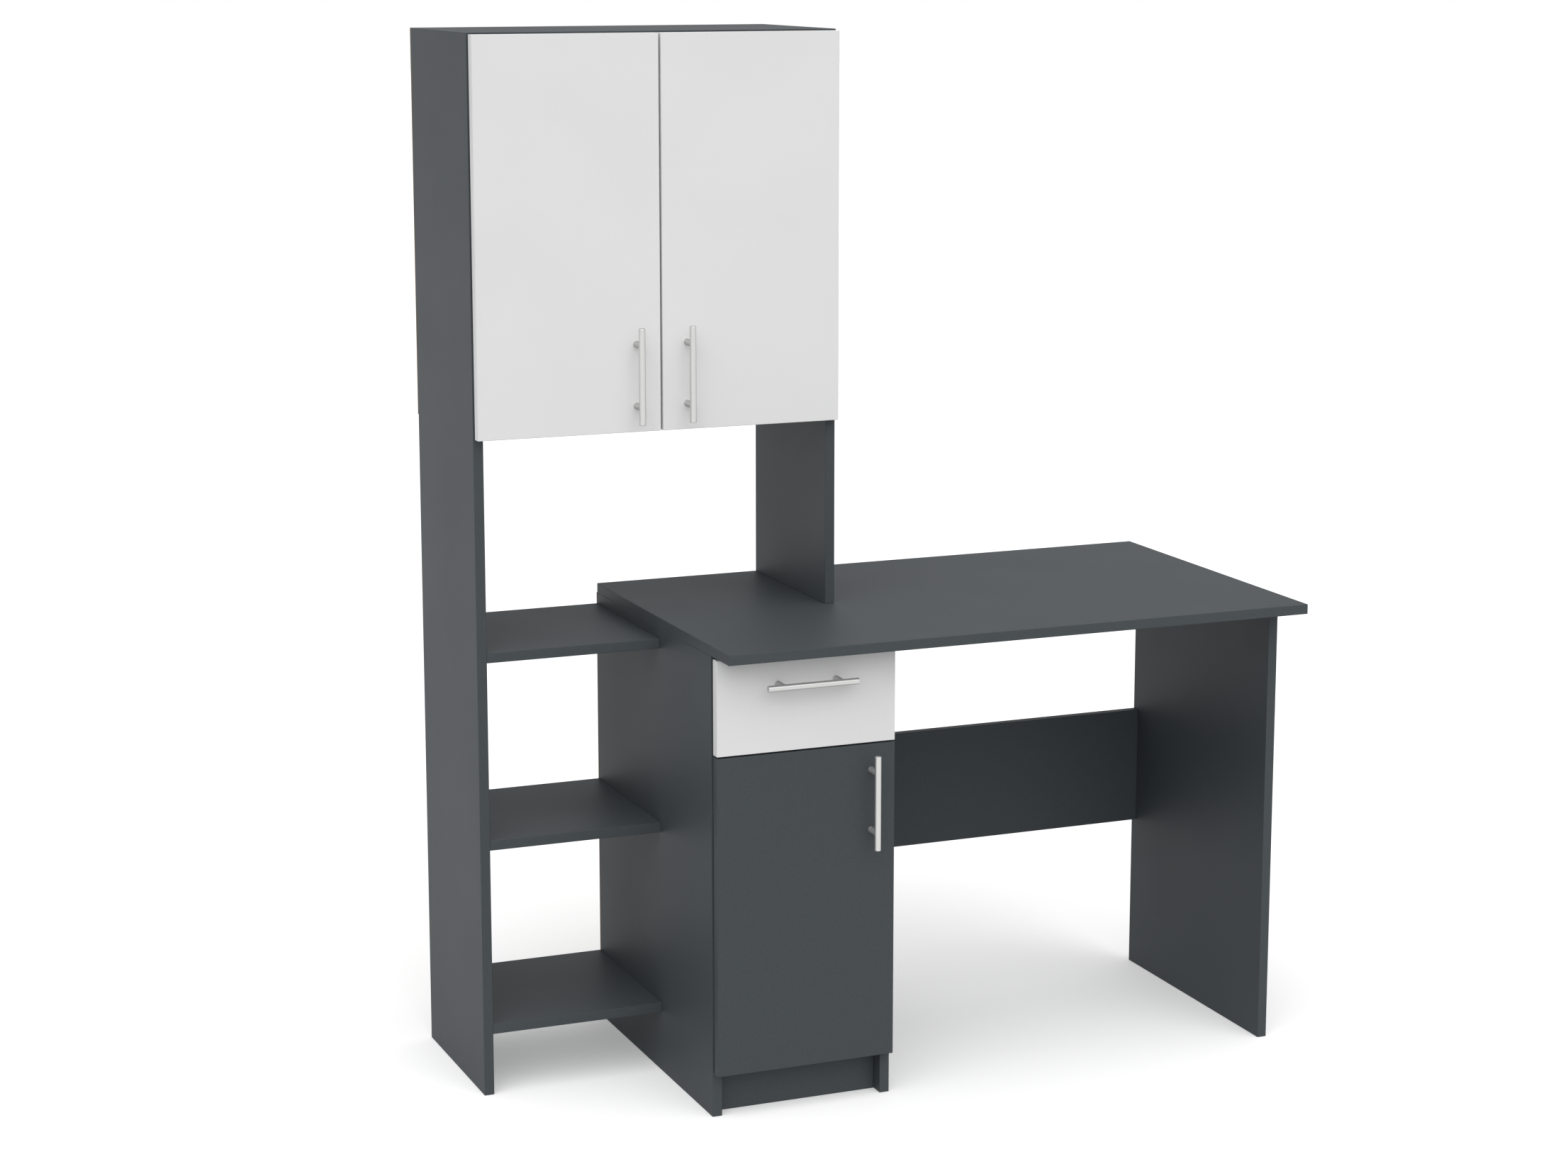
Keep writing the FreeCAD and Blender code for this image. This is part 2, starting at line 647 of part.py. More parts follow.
# A bar handle along X that stands out of a face along +Z, on two posts with a tapped hole each.
bar = doc.addObject("PartDesign::Body", "handle_bar")
bar_round = bar.newObject("PartDesign::AdditiveCylinder", "handle_bar_round")
bind(bar_round, Radius="handle_diameter / 2", Height="handle_length")
doc.recompute()
bar_ends = bar.newObject("PartDesign::Fillet", "handle_bar_ends")
rims = [f"Edge{number}" for number, edge in enumerate(bar_round.Shape.Edges, 1)
        if isinstance(edge.Curve, Part.Circle)]
bar_ends.Base = (bar_round, rims)
bind(bar_ends, Radius="handle_end_round")
place(bar, ("-handle_length / 2", "0", "handle_reach"), FreeCAD.Rotation(Vector(0, 0, 1), AXES["+x"]))
posts = []
post_holes = []
POST_PLACES = ("-handle_spacing / 2", "handle_spacing / 2")
for post_x in POST_PLACES:
    posts.append(rod("handle_post", "handle_post_diameter", "handle_reach", (post_x, "0", "0"), "+z"))
    post_holes.append(rod("handle_post_hole", "handle_screw_diameter + 2 * fit_play",
                          "handle_screw_in + fit_play + over_cut", (post_x, "0", "-over_cut"), "+z"))
handle = less("bar_handle", joined("bar_and_posts", bar, *posts), gathered("post_holes", post_holes))
handle_screw = screw("handle_screw", "handle_screw_diameter", "front_board + handle_screw_in",
                     "handle_screw_head", "handle_screw_head_height")[0]
handle_hole = pattern(rod("handle_hole", "handle_screw_diameter + 2 * handle_hole_play",
                          "front_board + 2 * over_cut", ("-over_cut", "0", "0")))

# Each handle's front, the middle of its bar and the way that the bar runs.
HANDLES = (
    ("left_door", "left_door_panel", "left_door_edge - handle_inset",
     "cabinet_door_bottom + handle_end_gap + handle_length / 2", "cabinet_door_face", "+z"),
    ("right_door", "right_door_panel", "right_door_edge + handle_inset",
     "cabinet_door_bottom + handle_end_gap + handle_length / 2", "cabinet_door_face", "+z"),
    ("pedestal_door", "pedestal_door_panel", "front_right - handle_inset",
     "pedestal_door_top - handle_end_gap - handle_length / 2", "pedestal_door_face", "+z"),
    ("drawer", "drawer_front", "pedestal_middle", "drawer_front_top - drawer_handle_drop",
     "pedestal_door_face", "+x"),
)
for owner, front, x, z, face, run in HANDLES:
    grip = copy_at(handle, (x, face, z), turned(run, "-y"))
    nodes[owner + "_handle"] = gathered(owner + "_handle", [grip])
    screws = []
    for offset in POST_PLACES:
        point = (f"{x} + {offset}", f"{face} + front_board", z)
        if run == "+z":
            point = (x, f"{face} + front_board", f"{z} + {offset}")
        screws.append(copy_at(handle_screw, point, turned("-y", "+z")))
        holes[front].append(copy_at(handle_hole, point, turned("-y", "+z")))
    nodes[owner + "_handle_screws"] = gathered(owner + "_handle_screws", screws)

# A concealed hinge about its pin along Z, with +X inwards from the door's edge and +Y to the cabinet.
half_arm = ("-arm_width / 2", "arm_width / 2")
arm_x = ("arm_outside", "arm_inside")
arm_end = "plate_middle + plate_length / 2"
eye = rod("hinge_eye", "eye_diameter", "arm_width", ("0", "0", "-arm_width / 2"), "+z")
step = block("hinge_step", ("0", "arm_inside"), ("-arm_thickness / 2", "arm_thickness / 2"), half_arm)
riser = block("hinge_riser", arm_x, ("-arm_thickness / 2", arm_end), half_arm)
tail = block("hinge_tail", arm_x, ("plate_middle - plate_length / 2", arm_end),
             ("-plate_width / 2", "plate_width / 2"))
eye_bore = rod("hinge_eye_bore", "pin_diameter + 2 * pin_play", "arm_width + 2 * over_cut",
               ("0", "0", "-arm_width / 2 - over_cut"), "+z")
arm = less("hinge_arm", joined("hinge_arm_blank", eye, step, riser, tail), eye_bore)

wood_screw, wood_hole = screw("wood_screw", "wood_screw_diameter", "wood_screw_in + wing_thickness",
                              "wood_screw_head", "wood_screw_head_height")
wings = block("hinge_wings", ("panel_inner", "panel_inner + wing_thickness"),
              ("plate_middle - wing_width / 2", "plate_middle + wing_width / 2"),
              ("-wing_height / 2", "wing_height / 2"))
ridge = block("hinge_ridge", ("panel_inner", "arm_outside"),
              ("plate_middle - plate_length / 2", "plate_middle + plate_length / 2"),
              ("-plate_width / 2", "plate_width / 2"))
plate_screws = []
plate_holes = []
for side in ("-", "+"):
    point = ("panel_inner + wing_thickness", "plate_middle", f"{side}plate_screw_spacing / 2")
    plate_screws.append(copy_at(wood_screw, point, turned("-x", "+z")))
    plate_holes.append(copy_at(wood_hole, point, turned("-x", "+z")))
plate_screws = gathered("plate_screw_pair", plate_screws)
plate_holes = gathered("plate_hole_pair", plate_holes)
plate = less("hinge_plate", joined("hinge_plate_blank", wings, ridge), plate_holes)

cup_floor = "pin_depth - cup_depth"
cup_inside = "cup_diameter - 2 * cup_wall"
bowl = rod("hinge_bowl", "cup_diameter", "cup_depth", ("cup_middle", cup_floor, "0"), "+y")
flange = block("hinge_flange",
               ("cup_middle - flange_outside", "cup_middle - flange_outside + flange_width"),
               ("pin_depth", "pin_depth + flange_thickness"),
               ("-flange_height / 2", "flange_height / 2"))
hollow = rod("hinge_hollow", cup_inside, "cup_depth + over_cut + flange_thickness",
             ("cup_middle", f"{cup_floor} + cup_wall", "0"), "+y")
pin = pattern(rod("hinge_pin", "pin_diameter", "2 * pin_half", ("0", "0", "-pin_half"), "+z"))
cup_screw, cup_screw_hole = screw("cup_screw", "wood_screw_diameter", "wood_screw_in + flange_thickness",
                                  "wood_screw_head", "wood_screw_head_height")
cup_screws = []
cup_holes = []
for side in ("-", "+"):
    point = ("cup_middle + cup_screw_offset", "pin_depth + flange_thickness",
             f"{side}cup_screw_spacing / 2")
    cup_screws.append(copy_at(cup_screw, point, turned("-y", "+z")))
    cup_holes.append(copy_at(cup_screw_hole, point, turned("-y", "+z")))
cup_screws = gathered("cup_screw_pair", cup_screws)
cup_openings = joined("hinge_cup_openings", hollow, pin, *cup_holes)
cup = less("hinge_cup", joined("hinge_cup_blank", bowl, flange), cup_openings)
cup_seat = rod("hinge_cup_seat", "cup_diameter + 2 * fit_play", "cup_depth + fit_play + over_cut",
               ("cup_middle", f"{cup_floor} - fit_play", "0"), "+y")
door_borings = gathered("hinge_door_borings", [cup_seat, *cup_holes])

# Each hinged door's panel and its hinge pins' places.
HINGED = (
    ("left_door", "left_side_panel",
     ("left + side_reveal + pin_edge", "cabinet_door_back - pin_depth"),
     cabinet_door_z, ("+x", "+z")),
    ("right_door", "right_upright_panel",
     ("tall_right - side_reveal - pin_edge", "cabinet_door_back - pin_depth"),
     cabinet_door_z, ("-x", "-z")),
    ("pedestal_door", "pedestal_left_panel",
     ("front_left + pin_edge", "pedestal_door_back - pin_depth"),
     ("pedestal_door_bottom", "pedestal_door_top"), ("+x", "+z")),
)
arms = []
plates = []
all_plate_screws = []
for door, panel, (x, y), (low, high), directions in HINGED:
    turn = turned(*directions)
    moving = {"hinge_cups": [], "hinge_pins": [], "cup_screws": []}
    for z in (f"{low} + hinge_end_gap", f"{high} - hinge_end_gap"):
        point = (x, y, z)
        arms.append(copy_at(arm, point, turn))
        plates.append(copy_at(plate, point, turn))
        all_plate_screws.append(copy_at(plate_screws, point, turn))
        holes[panel].append(copy_at(plate_holes, point, turn))
        moving["hinge_cups"].append(copy_at(cup, point, turn))
        moving["hinge_pins"].append(copy_at(pin, point, turn))
        moving["cup_screws"].append(copy_at(cup_screws, point, turn))
        holes[door + "_panel"].append(copy_at(door_borings, point, turn))
    for piece, copies in moving.items():
        nodes[f"{door}_{piece}"] = gathered(f"{door}_{piece}", copies)
nodes["hinge_arms"] = gathered("hinge_arms", arms)
nodes["hinge_plates"] = gathered("hinge_plates", plates)
nodes["hinge_plate_screws"] = gathered("hinge_plate_screws", all_plate_screws)

# Roller runners, made for the left side and mirrored: a channel on the cabinet with a roller at its
# front, and a rail on the drawer that runs on that roller, with a roller of its own in the channel.
channel_y = ("runner_front", "runner_front + runner_length")
channel_x = ("pedestal_inner_left", "pedestal_inner_left + runner_flange")
web_x = ("pedestal_inner_left", "pedestal_inner_left + runner_sheet")
channel_web = block("channel_web", web_x, channel_y, ("runner_under", "channel_top"))
channel_floor = block("channel_floor", channel_x, channel_y,
                      ("runner_under", "runner_under + runner_sheet"))
channel_roof = block("channel_roof", channel_x, channel_y, ("channel_top - runner_sheet", "channel_top"))
channel_tab = block("channel_tab", web_x, ("runner_front", "runner_front + runner_tab"),
                    ("runner_under", "front_axle_up + axle_head"))
axle_length = "roller_width + 2 * roller_side_play"
front_axle = rod("front_axle", "axle_diameter", axle_length,
                 (web_x[1], "front_axle_along", "front_axle_up"))
front_axle_head = rod("front_axle_head", "axle_head", "axle_head_height",
                      (f"{web_x[1]} + {axle_length}", "front_axle_along", "front_axle_up"))
channel = joined("runner_channel", channel_web, channel_floor, channel_roof, channel_tab,
                 front_axle, front_axle_head)

rail_x = ("drawer_left - runner_sheet", "drawer_left")
rail_y = ("drawer_runner_front", "drawer_runner_rear")
rail_web = block("rail_web", rail_x, rail_y,
                 ("runner_under + drawer_runner_hang", "drawer_runner_top + runner_sheet"))
rail_flange = block("rail_flange", ("drawer_left - runner_flange", "drawer_left"), rail_y,
                    ("drawer_runner_top", "drawer_runner_top + runner_sheet"))
rear_axle = rod("rear_axle", "axle_diameter", axle_length,
                (rail_x[0], "rear_axle_along", "rear_axle_up"), "-x")
rear_axle_head = rod("rear_axle_head", "axle_head", "axle_head_height",
                     (f"{rail_x[0]} - ({axle_length})", "rear_axle_along", "rear_axle_up"), "-x")
rail = joined("runner_rail", rail_web, rail_flange, rear_axle, rear_axle_head)


def roller(name, start, along):
    """A nylon roller on its axle."""
    wheel = rod(name + "_wheel", "roller_diameter", "roller_width", start, along)
    bore = rod(name + "_bore", "axle_diameter + 2 * axle_play", "roller_width", start, along)
    return less(name, wheel, bore)


front_start = f"{web_x[1]} + roller_side_play"
front_roller = roller("front_roller", (front_start, "front_axle_along", "front_axle_up"), "+x")
rear_start = f"{rail_x[0]} - roller_side_play"
rear_roller = roller("rear_roller", (rear_start, "rear_axle_along", "rear_axle_up"), "-x")

# Screws of the runners and of the drawer back.
runner_screw, runner_hole = screw("runner_screw", "wood_screw_diameter", "wood_screw_in + runner_sheet",
                                  "wood_screw_head", "wood_screw_head_height")
back_screw, back_hole = screw("back_screw", "wood_screw_diameter", "drawer_board + back_screw_in",
                              "wood_screw_head", "back_screw_head_height", sunk=True)
channel_screws = []
channel_holes = []
channel_screw_z = "(runner_under + channel_top) / 2"
for y in ("runner_front + runner_screw_inset", "runner_front + runner_length / 2",
          "runner_front + runner_length - runner_screw_inset"):
    point = (web_x[1], y, channel_screw_z)
    channel_screws.append(copy_at(runner_screw, point, turned("-x", "+z")))
    channel_holes.append(copy_at(runner_hole, point, turned("-x", "+z")))
rail_screws = []
rail_holes = []
for y in ("drawer_runner_front + runner_screw_inset", "drawer_runner_rear - runner_screw_inset"):
    point = (rail_x[0], y, "front_axle_up")
    rail_screws.append(copy_at(runner_screw, point, turned("+x", "+z")))
    rail_holes.append(copy_at(runner_hole, point, turned("+x", "+z")))
back_screws = []
back_holes = []
for z in ("drawer_top - back_screw_drop", "drawer_top - back_screw_drop - back_screw_spacing"):
    point = ("drawer_left", "drawer_rear - drawer_board / 2", z)
    back_screws.append(copy_at(back_screw, point, turned("+x", "+z")))
    back_holes.append(copy_at(back_hole, point, turned("+x", "+z")))


def both_sides(item):
    """A piece and its mirror image on the other side of the pedestal's middle."""
    return [item, mirrored(item, "pedestal_middle")]


channel_holes = gathered("channel_holes", channel_holes)
rail_holes = gathered("rail_holes", rail_holes)
back_holes = gathered("back_holes", back_holes)
RUNNER_PIECES = {
    "cabinet_runners": less("drilled_channel", channel, channel_holes),
    "drawer_runners": less("drilled_rail", rail, rail_holes),
    "front_rollers": front_roller,
    "rear_rollers": rear_roller,
    "runner_screws": gathered("left_channel_screws", channel_screws),
    "drawer_screws": gathered("left_drawer_screws", rail_screws + back_screws),
}
for label, piece in RUNNER_PIECES.items():
    nodes[label] = gathered(label, both_sides(piece))
left_back_holes, right_back_holes = both_sides(back_holes)
left_channel_holes, right_channel_holes = both_sides(channel_holes)
left_rail_holes, right_rail_holes = both_sides(rail_holes)
holes["pedestal_left_panel"].append(left_channel_holes)
holes["pedestal_right_panel"].append(right_channel_holes)
holes["drawer_left_side"] += [left_rail_holes, left_back_holes]
holes["drawer_right_side"] += [right_rail_holes, right_back_holes]
holes["drawer_back"] += [left_back_holes, right_back_holes]

# Cam locks that hold the drawer sides to the drawer front.
side_lock, side_bolt, side_boring, side_tapping = cam_fitting(
    "drawer_cam", "drawer_board", "drawer_cam_depth")
side_locks = []
side_bolts = []
for label, x, face in (("drawer_left_side", "drawer_left + drawer_board / 2", "+x"),
                       ("drawer_right_side", "drawer_right - drawer_board / 2", "-x")):
    turn = turned("+y", face)
    for z in ("drawer_top - drawer_cam_inset", "bottom_top + drawer_cam_inset"):
        point = (x, "pedestal_door_back", z)
        side_locks.append(copy_at(side_lock, point, turn))
        side_bolts.append(copy_at(side_bolt, point, turn))
        holes[label].append(copy_at(side_boring, point, turn))
        holes["drawer_front"].append(copy_at(side_tapping, point, turn))
nodes["drawer_cam_locks"] = gathered("drawer_cam_locks", side_locks)
nodes["drawer_cam_bolts"] = gathered("drawer_cam_bolts", side_bolts)

# The boards are drilled, and every sub-part gets its label.
for label, tools in holes.items():
    if tools:
        drilling = tools[0] if len(tools) == 1 else gathered(label + "_holes", tools)
        nodes[label] = less(label + "_drilled", nodes[label], drilling)
for label, item in nodes.items():
    item.Label = label
doc.recompute()

for item in doc.Objects:
    if "Invalid" in item.State or "Error" in item.State:
        raise RuntimeError(f"{item.Label} could not be made: {item.State}")
for label, item in nodes.items():
    shape = item.Shape
    if shape.isNull() or not shape.isValid() or not shape.Solids:
        raise RuntimeError(f"{label} is not a sound solid")

os.makedirs("parts", exist_ok=True)
for label, item in nodes.items():
    item.Shape.exportStep(f"parts/{label}.step")
print(len(nodes), "sub-parts,", sum(len(item.Shape.Solids) for item in nodes.values()), "solids")
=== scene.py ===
import math

import bmesh
import bpy
from mathutils import Matrix, Vector


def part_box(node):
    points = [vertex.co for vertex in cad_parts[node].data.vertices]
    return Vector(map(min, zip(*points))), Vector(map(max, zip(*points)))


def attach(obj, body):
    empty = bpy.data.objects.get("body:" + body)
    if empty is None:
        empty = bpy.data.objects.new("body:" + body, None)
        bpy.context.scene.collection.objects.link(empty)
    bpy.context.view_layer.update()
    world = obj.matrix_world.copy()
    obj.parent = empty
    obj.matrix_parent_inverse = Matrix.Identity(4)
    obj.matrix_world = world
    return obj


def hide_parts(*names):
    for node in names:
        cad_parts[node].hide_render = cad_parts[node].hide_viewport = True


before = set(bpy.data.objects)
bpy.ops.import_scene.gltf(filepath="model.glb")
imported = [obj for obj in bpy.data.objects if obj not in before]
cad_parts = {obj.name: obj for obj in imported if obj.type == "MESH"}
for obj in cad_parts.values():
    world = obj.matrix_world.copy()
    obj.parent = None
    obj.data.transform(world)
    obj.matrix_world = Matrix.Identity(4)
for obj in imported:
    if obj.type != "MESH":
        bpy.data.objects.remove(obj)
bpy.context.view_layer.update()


# Standing panels: the tall left side, the upright on the desktop, the two sides of the pedestal and
# the right leg. Each is 16 mm chipboard with graphite melamine paper pressed on both faces and thin
# plastic edging glued round it, and cam fittings tie it to the lying boards.
GRAPHITE_PAPER = (0.047, 0.056, 0.063, 1.0)
GRAPHITE_EDGING = (0.050, 0.060, 0.067, 1.0)
GRAPHITE_ROUGHNESS = 0.54
GRAPHITE_GLOSS = 0.26
FACE_FROM, FACE_TO = 0.86, 0.99
SEAM_GLUE = (0.02, 0.02, 0.02, 1.0)
SEAM_DEPTH = 0.25
SEAM_TURN = 0.94
SEAM_WIDTH = 0.05
PEARL = (0.5, 0.5, 0.5, 1.0)
PEARL_GRAIN = 1500.0
PEARL_DETAIL = 2.0
PEARL_SHARE = 0.07
PEARL_FROM, PEARL_TO = 0.45, 0.75
PRINT_CLOUD = 5.0
PRINT_DETAIL = 4.0
PRINT_DEPTH = 0.015
PAPER_POLISH = 0.02
PAPER_PEEL = 0.12
PAPER_PEEL_HEIGHT = 0.0001
NOISE_LOW, NOISE_HIGH = 0.3, 0.7


def add_node(tree, kind, inputs=None, **settings):
    """Adds a shader node and fills its inputs, with a link where the value is another node's output."""
    node = tree.nodes.new("ShaderNode" + kind)
    for name, value in settings.items():
        setattr(node, name, value)
    for name, value in (inputs or {}).items():
        if isinstance(value, bpy.types.NodeSocket):
            tree.links.new(value, node.inputs[name])
        else:
            node.inputs[name].default_value = value
    return node


def new_finish(name, **sockets):
    """A material with one shader, whose plain numbers are set on its own sockets."""
    finish = bpy.data.materials.new(name)
    finish.use_nodes = True
    shader = finish.node_tree.nodes["Principled BSDF"]
    for socket, value in sockets.items():
        shader.inputs[socket.replace("_", " ")].default_value = value
    return finish, finish.node_tree, shader


def blended(tree, share, first, second, how="MIX"):
    """The colour that lies between two colours, by share."""
    mix = add_node(tree, "Mix", {0: share, 6: first, 7: second}, data_type="RGBA", blend_type=how)
    return mix.outputs[2]


def ranged(tree, value, low, high, from_low=0.0, from_high=1.0):
    """A value brought from one range to another."""
    return add_node(tree, "MapRange", {"Value": value, "From Min": from_low, "From Max": from_high,
                                       "To Min": low, "To Max": high}).outputs["Result"]


def grained(tree, place, grain, detail, **more):
    """A noise of one grain, over places in the object."""
    noise = add_node(tree, "TexNoise", {"Vector": place, "Scale": grain, "Detail": detail, **more})
    return noise.outputs["Fac"]


def toned(tree, colour, noise, low, high):
    """A colour made darker and paler by a noise."""
    depth = ranged(tree, noise, low, high, NOISE_LOW, NOISE_HIGH)
    tone = add_node(tree, "CombineColor", {"Red": depth, "Green": depth, "Blue": depth})
    return blended(tree, 1.0, colour, tone.outputs["Color"], "MULTIPLY")


def polish(tree, shader, noise, roughness, swing):
    """Gives a shader a roughness that goes up and down a little with a noise."""
    uneven = ranged(tree, noise, roughness - swing, roughness + swing, NOISE_LOW, NOISE_HIGH)
    tree.links.new(uneven, shader.inputs["Roughness"])


def emboss(tree, shader, noise, strength, height):
    """Gives a shader the small bumps of a noise."""
    bumps = add_node(tree, "Bump", {"Strength": strength, "Distance": height, "Height": noise})
    tree.links.new(bumps.outputs["Normal"], shader.inputs["Normal"])


def melamine(name, paper, edging, thickness, roughness, gloss):
    """Pressed melamine paper on a board's two faces, and plastic edging where it is cut."""
    finish, tree, shader = new_finish(name, Specular_IOR_Level=gloss)
    place = add_node(tree, "TexCoord")
    normal = add_node(tree, "SeparateXYZ", {"Vector": place.outputs["Normal"]})
    squareness = add_node(tree, "Math", {0: normal.outputs[thickness]}, operation="ABSOLUTE").outputs[0]
    pearl = grained(tree, place.outputs["Object"], PEARL_GRAIN, PEARL_DETAIL)
    cloud = grained(tree, place.outputs["Object"], PRINT_CLOUD, PRINT_DETAIL)
    sheet = blended(tree, ranged(tree, squareness, 0.0, 1.0, FACE_FROM, FACE_TO), edging, paper)
    rim = add_node(tree, "Math", {0: squareness, 1: SEAM_TURN, 2: SEAM_WIDTH}, operation="COMPARE")
    seamed = blended(tree, ranged(tree, rim.outputs[0], 0.0, SEAM_DEPTH), sheet, SEAM_GLUE)
    sparkle = ranged(tree, pearl, 0.0, PEARL_SHARE, PEARL_FROM, PEARL_TO)
    speckled = blended(tree, sparkle, seamed, PEARL)
    clouded = toned(tree, speckled, cloud, 1.0 - PRINT_DEPTH, 1.0 + PRINT_DEPTH)
    tree.links.new(clouded, shader.inputs["Base Color"])
    polish(tree, shader, cloud, roughness, PAPER_POLISH)
    emboss(tree, shader, pearl, PAPER_PEEL, PAPER_PEEL_HEIGHT)
    return finish


def dress(finish, *nodes):
    """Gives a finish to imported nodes."""
    for node in nodes:
        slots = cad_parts[node].data.materials
        slots.clear()
        slots.append(finish)


standing_graphite = melamine("graphite_standing_board", GRAPHITE_PAPER, GRAPHITE_EDGING, "X",
                             GRAPHITE_ROUGHNESS, GRAPHITE_GLOSS)
dress(standing_graphite, "left_side_panel", "right_upright_panel", "pedestal_left_panel",
      "pedestal_right_panel", "right_leg_panel")


# Lying boards: desktop, top and bottom of the overhead cabinet, bay shelves, pedestal floor and divider,
# and the two loose shelves. The same graphite melamine board, lying flat between the standing panels.
lying_graphite = melamine("graphite_lying_board", GRAPHITE_PAPER, GRAPHITE_EDGING, "Z",
                          GRAPHITE_ROUGHNESS, GRAPHITE_GLOSS)
dress(lying_graphite, "desktop", "cabinet_top_panel", "cabinet_bottom_panel", "cabinet_shelf",
      "lower_bay_shelf", "middle_bay_shelf", "upper_bay_shelf", "pedestal_bottom_panel",
      "pedestal_divider", "pedestal_shelf")


# Boards that face the room: the plinth under the pedestal, the modesty panel behind the knees and the
# pedestal's door. Graphite melamine board again, set on edge.
facing_graphite = melamine("graphite_facing_board", GRAPHITE_PAPER, GRAPHITE_EDGING, "Y",
                           GRAPHITE_ROUGHNESS, GRAPHITE_GLOSS)
dress(facing_graphite, "pedestal_plinth", "modesty_panel", "pedestal_door_panel")


# Backs of the cabinet and the pedestal: 3 mm hard fibreboard nailed on from behind. The inner side is
# lacquered grey, and the outer side is bare brown board with its pressed fibres showing.
FIBRE = (0.22, 0.135, 0.075, 1.0)
FIBRE_PALE = (0.33, 0.22, 0.13, 1.0)
FIBRE_GLOSS = 0.35
FIBRE_GRAIN = 320.0
FIBRE_DETAIL = 6.0
FIBRE_COARSE = 0.7
FIBRE_TWIST = 1.5
FIBRE_FROM, FIBRE_TO = 0.35, 0.65
FIBRE_ROUGHNESS = 0.78
FIBRE_RUB = 0.25
FIBRE_RUB_HEIGHT = 0.0002
MOTTLE_GRAIN = 14.0
MOTTLE_DETAIL = 5.0
MOTTLE_SHARE = 0.35
MOTTLE_FROM, MOTTLE_TO = 0.4, 0.7
LACQUER = (0.075, 0.081, 0.086, 1.0)
LACQUER_ROUGHNESS = 0.45
FORWARDS = (-0.5, -0.9)


def fibreboard(name, lacquer, side, bare_to, lacquered_from):
    """Bare fibres all round, apart from one lacquered side."""
    finish, tree, shader = new_finish(name, Specular_IOR_Level=FIBRE_GLOSS)
    place = add_node(tree, "TexCoord")
    normal = add_node(tree, "SeparateXYZ", {"Vector": place.outputs["Normal"]})
    lacquered = ranged(tree, normal.outputs[side], 0.0, 1.0, bare_to, lacquered_from)
    fibres = grained(tree, place.outputs["Object"], FIBRE_GRAIN, FIBRE_DETAIL,
                     Roughness=FIBRE_COARSE, Distortion=FIBRE_TWIST)
    mottle = grained(tree, place.outputs["Object"], MOTTLE_GRAIN, MOTTLE_DETAIL)
    bare = blended(tree, ranged(tree, fibres, 0.0, 1.0, FIBRE_FROM, FIBRE_TO), FIBRE, FIBRE_PALE)
    aged = blended(tree, ranged(tree, mottle, 0.0, MOTTLE_SHARE, MOTTLE_FROM, MOTTLE_TO), bare, FIBRE)
    tree.links.new(blended(tree, lacquered, aged, lacquer), shader.inputs["Base Color"])
    tree.links.new(ranged(tree, lacquered, FIBRE_ROUGHNESS, LACQUER_ROUGHNESS), shader.inputs["Roughness"])
    emboss(tree, shader, fibres, FIBRE_RUB, FIBRE_RUB_HEIGHT)
    return finish


dress(fibreboard("hardboard_back", LACQUER, "Y", *FORWARDS), "cabinet_back_panel", "pedestal_back_panel")


# White fronts: the two cabinet doors and the drawer front, 16 mm chipboard with smooth white melamine
# on both faces and white edging. The doors hang on cup hinges, the front is cammed to the drawer box.
WHITE_PAPER = (0.81, 0.81, 0.81, 1.0)
WHITE_EDGING = (0.80, 0.80, 0.80, 1.0)
WHITE_ROUGHNESS = 0.40
WHITE_GLOSS = 0.35
white_front = melamine("white_front_board", WHITE_PAPER, WHITE_EDGING, "Y", WHITE_ROUGHNESS, WHITE_GLOSS)
dress(white_front, "left_door_panel", "right_door_panel", "drawer_front")


# Bar handles: a round bar on two round posts, turned from steel, brushed and plated with satin nickel.
# One screw through the front holds each post.
NICKEL = (0.72, 0.72, 0.71, 1.0)
NICKEL_RIM = (0.10, 0.10, 0.10, 1.0)
NICKEL_METALLIC = 0.68
NICKEL_ROUGHNESS = 0.34
BRUSH_LINES = 120.0
BRUSH_DEPTH = 0.025
BRUSH_DETAIL = 3.0
BRUSH_POLISH = 0.03
BRUSH_HEIGHT = 0.00005
ALONG_X = (30.0, 1.0, 1.0)
ALONG_Z = (1.0, 1.0, 30.0)


def plated(name, colour, rim, metallic, roughness, stretch, grain, depth):
    """Plated metal whose brush lines run square to the direction that stretch squeezes."""
    finish, tree, shader = new_finish(name, Metallic=metallic, Specular_Tint=rim)
    place = add_node(tree, "TexCoord")
    drawn = add_node(tree, "Mapping", {"Vector": place.outputs["Object"], "Scale": stretch})
    brush = grained(tree, drawn.outputs["Vector"], grain, BRUSH_DETAIL)
    tree.links.new(toned(tree, colour, brush, 1.0 - depth, 1.0 + depth), shader.inputs["Base Color"])
    polish(tree, shader, brush, roughness, BRUSH_POLISH)
    emboss(tree, shader, brush, depth, BRUSH_HEIGHT)
    return finish


upright_nickel = plated("satin_nickel_upright", NICKEL, NICKEL_RIM, NICKEL_METALLIC, NICKEL_ROUGHNESS,
                        ALONG_Z, BRUSH_LINES, BRUSH_DEPTH)
dress(upright_nickel, "left_door_handle", "right_door_handle", "pedestal_door_handle")
level_nickel = plated("satin_nickel_level", NICKEL, NICKEL_RIM, NICKEL_METALLIC, NICKEL_ROUGHNESS,
                      ALONG_X, BRUSH_LINES, BRUSH_DEPTH)
dress(level_nickel, "drawer_handle")


